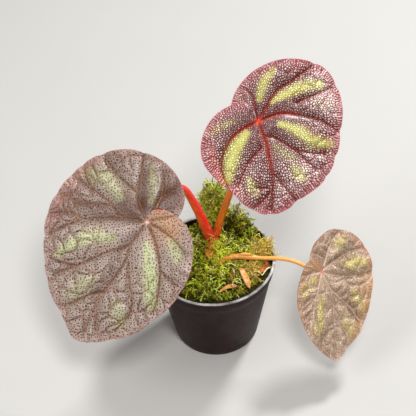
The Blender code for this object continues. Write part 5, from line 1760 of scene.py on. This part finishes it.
def buildScales():
    for name, scale in dryLook["scales"].items():
        mesh = layScale(scale["points"], scale["width"], dryLook["lift"] + dryLook["thickness"],
                        dryLook["columns"], dryLook["rows"], dryLook["curl"])
        material = dryMaterial(name.replace("_", " "), scale["Pale"], scale["Deep"])
        finishPiece(mesh, name + "_fine", [material], [name])


def roundPlace(draw, look):
    # a place at a random turn and distance from the middle, and a random way to lie
    angle = draw.uniform(*look["turns"])
    radius = draw.uniform(*look["radii"])
    return radius * math.cos(angle), radius * math.sin(angle), draw.uniform(0.0, math.tau)


def buildStrands(draw):
    routes = list(dryLook["strands"])
    look = dryLook["loose"]
    for _ in range(look["count"]):
        x, y, way = roundPlace(draw, look)
        long = draw.uniform(*look["long"])
        bend = draw.uniform(*look["bend"])
        strand = []
        for share in (0.0, 0.35, 0.7, 1.0):
            arch = math.sin(share * math.pi)
            px = x + math.cos(way) * long * share - math.sin(way) * bend * arch
            py = y + math.sin(way) * long * share + math.cos(way) * bend * arch
            strand.append((px, py, mossHeight(px, py) + look["lift"] + look["arch"] * arch,
                           look["radius"] * (1.0 - 0.6 * share)))
        clear = min(stemGap(Vector(point[:3]), keepClear) for point in strand) > look["clear"]
        inside = max(math.hypot(point[0], point[1]) for point in strand) < look["inside"]
        if clear and inside:
            routes.append(strand)
    mesh = tubeMesh("pale_strands", routes, 1, 5)
    finishPiece(mesh, "pale_strands", [dryMaterial("pale strands", *look["colours"])])


def buildLitter(draw):
    look = dryLook["litter"]
    bm = bmesh.new()
    for _ in range(look["count"]):
        x, y, way = roundPlace(draw, look)
        long = draw.uniform(*look["long"])
        turn = draw.uniform(*look["turn"])
        points = [(x, y), (x + long * 0.5 * math.cos(way), y + long * 0.5 * math.sin(way)),
                  (x + long * math.cos(way + turn), y + long * math.sin(way + turn))]
        middle = Vector((*points[1], mossHeight(*points[1]) + 1.5))
        reach = max(math.hypot(*point) for point in points)
        if stemGap(middle, keepClear) < look["clear"] or reach > look["inside"]:
            continue
        width, lift, curl = (draw.uniform(*look[label]) for label in ("width", "lift", "curl"))
        flake = layScale(points, width, lift, *look["cells"], curl)
        bm.from_mesh(flake)
        bpy.data.meshes.remove(flake)
    material = dryMaterial("litter", *look["colours"])
    finishPiece(meshFrom(bm, "litter", False), "litter", [material])


bract = {
    "route": [(12.2, -4.3, 57.2, 0.25), (14.2, -4.2, 57.5, 0.75), (16.6, -4.0, 57.2, 0.85),
              (18.8, -3.9, 56.6, 0.5), (20.2, -3.8, 56.2, 0.2)],
    "colours": {"Lit": (226, 166, 62), "Shade": (190, 112, 30), "Foot": (206, 140, 50),
                "Fleck": (244, 214, 150)},
    # flush is the way that the lit side of the painted light and shade faces
    "flush": (0.0, -0.4, 0.9), "roughness": 0.5,
}


def buildBract():
    # the bract on the thin stalk, as a short round tube thickest in its middle
    mesh = tubeMesh("stalk_bract", [bract["route"]], 4, 5)
    skinFields(mesh, denseCurve(bract["route"], 5), bract["flush"])
    material = stalkMaterial("bract skin", bract["colours"], bract["roughness"])
    finishPiece(mesh, "stalk_bract", [material])


def routeOf(points):
    return [(Vector(point[:3]), point[3]) for point in points]


# what the moss and the litter keep clear of: the stalks, the front bud and the dry scales
keepClear = [routeOf(stalk["route"]) for stalk in stalks.values()]
keepClear.append(routeOf(creepingStem["frontBud"]))
for drySpan in dryLook["scales"].values():
    keepClear.append(routeOf([(x, y, mossHeight(x, y) + dryLook["clearHeight"], radius)
                              for (x, y), radius in zip(drySpan["points"], dryLook["clearRadii"])]))
creepingRoutes = [[(centre, creepingStem["clearance"])
                   for centre, _ in routeOf(denseCurve(creepingStem["route"], 4))]]

buildMoss()
print("moss ready")
buildScales()
litterDraw = random.Random(dryLook["seed"])
buildStrands(litterDraw)
buildLitter(litterDraw)
buildBract()
print("litter ready")
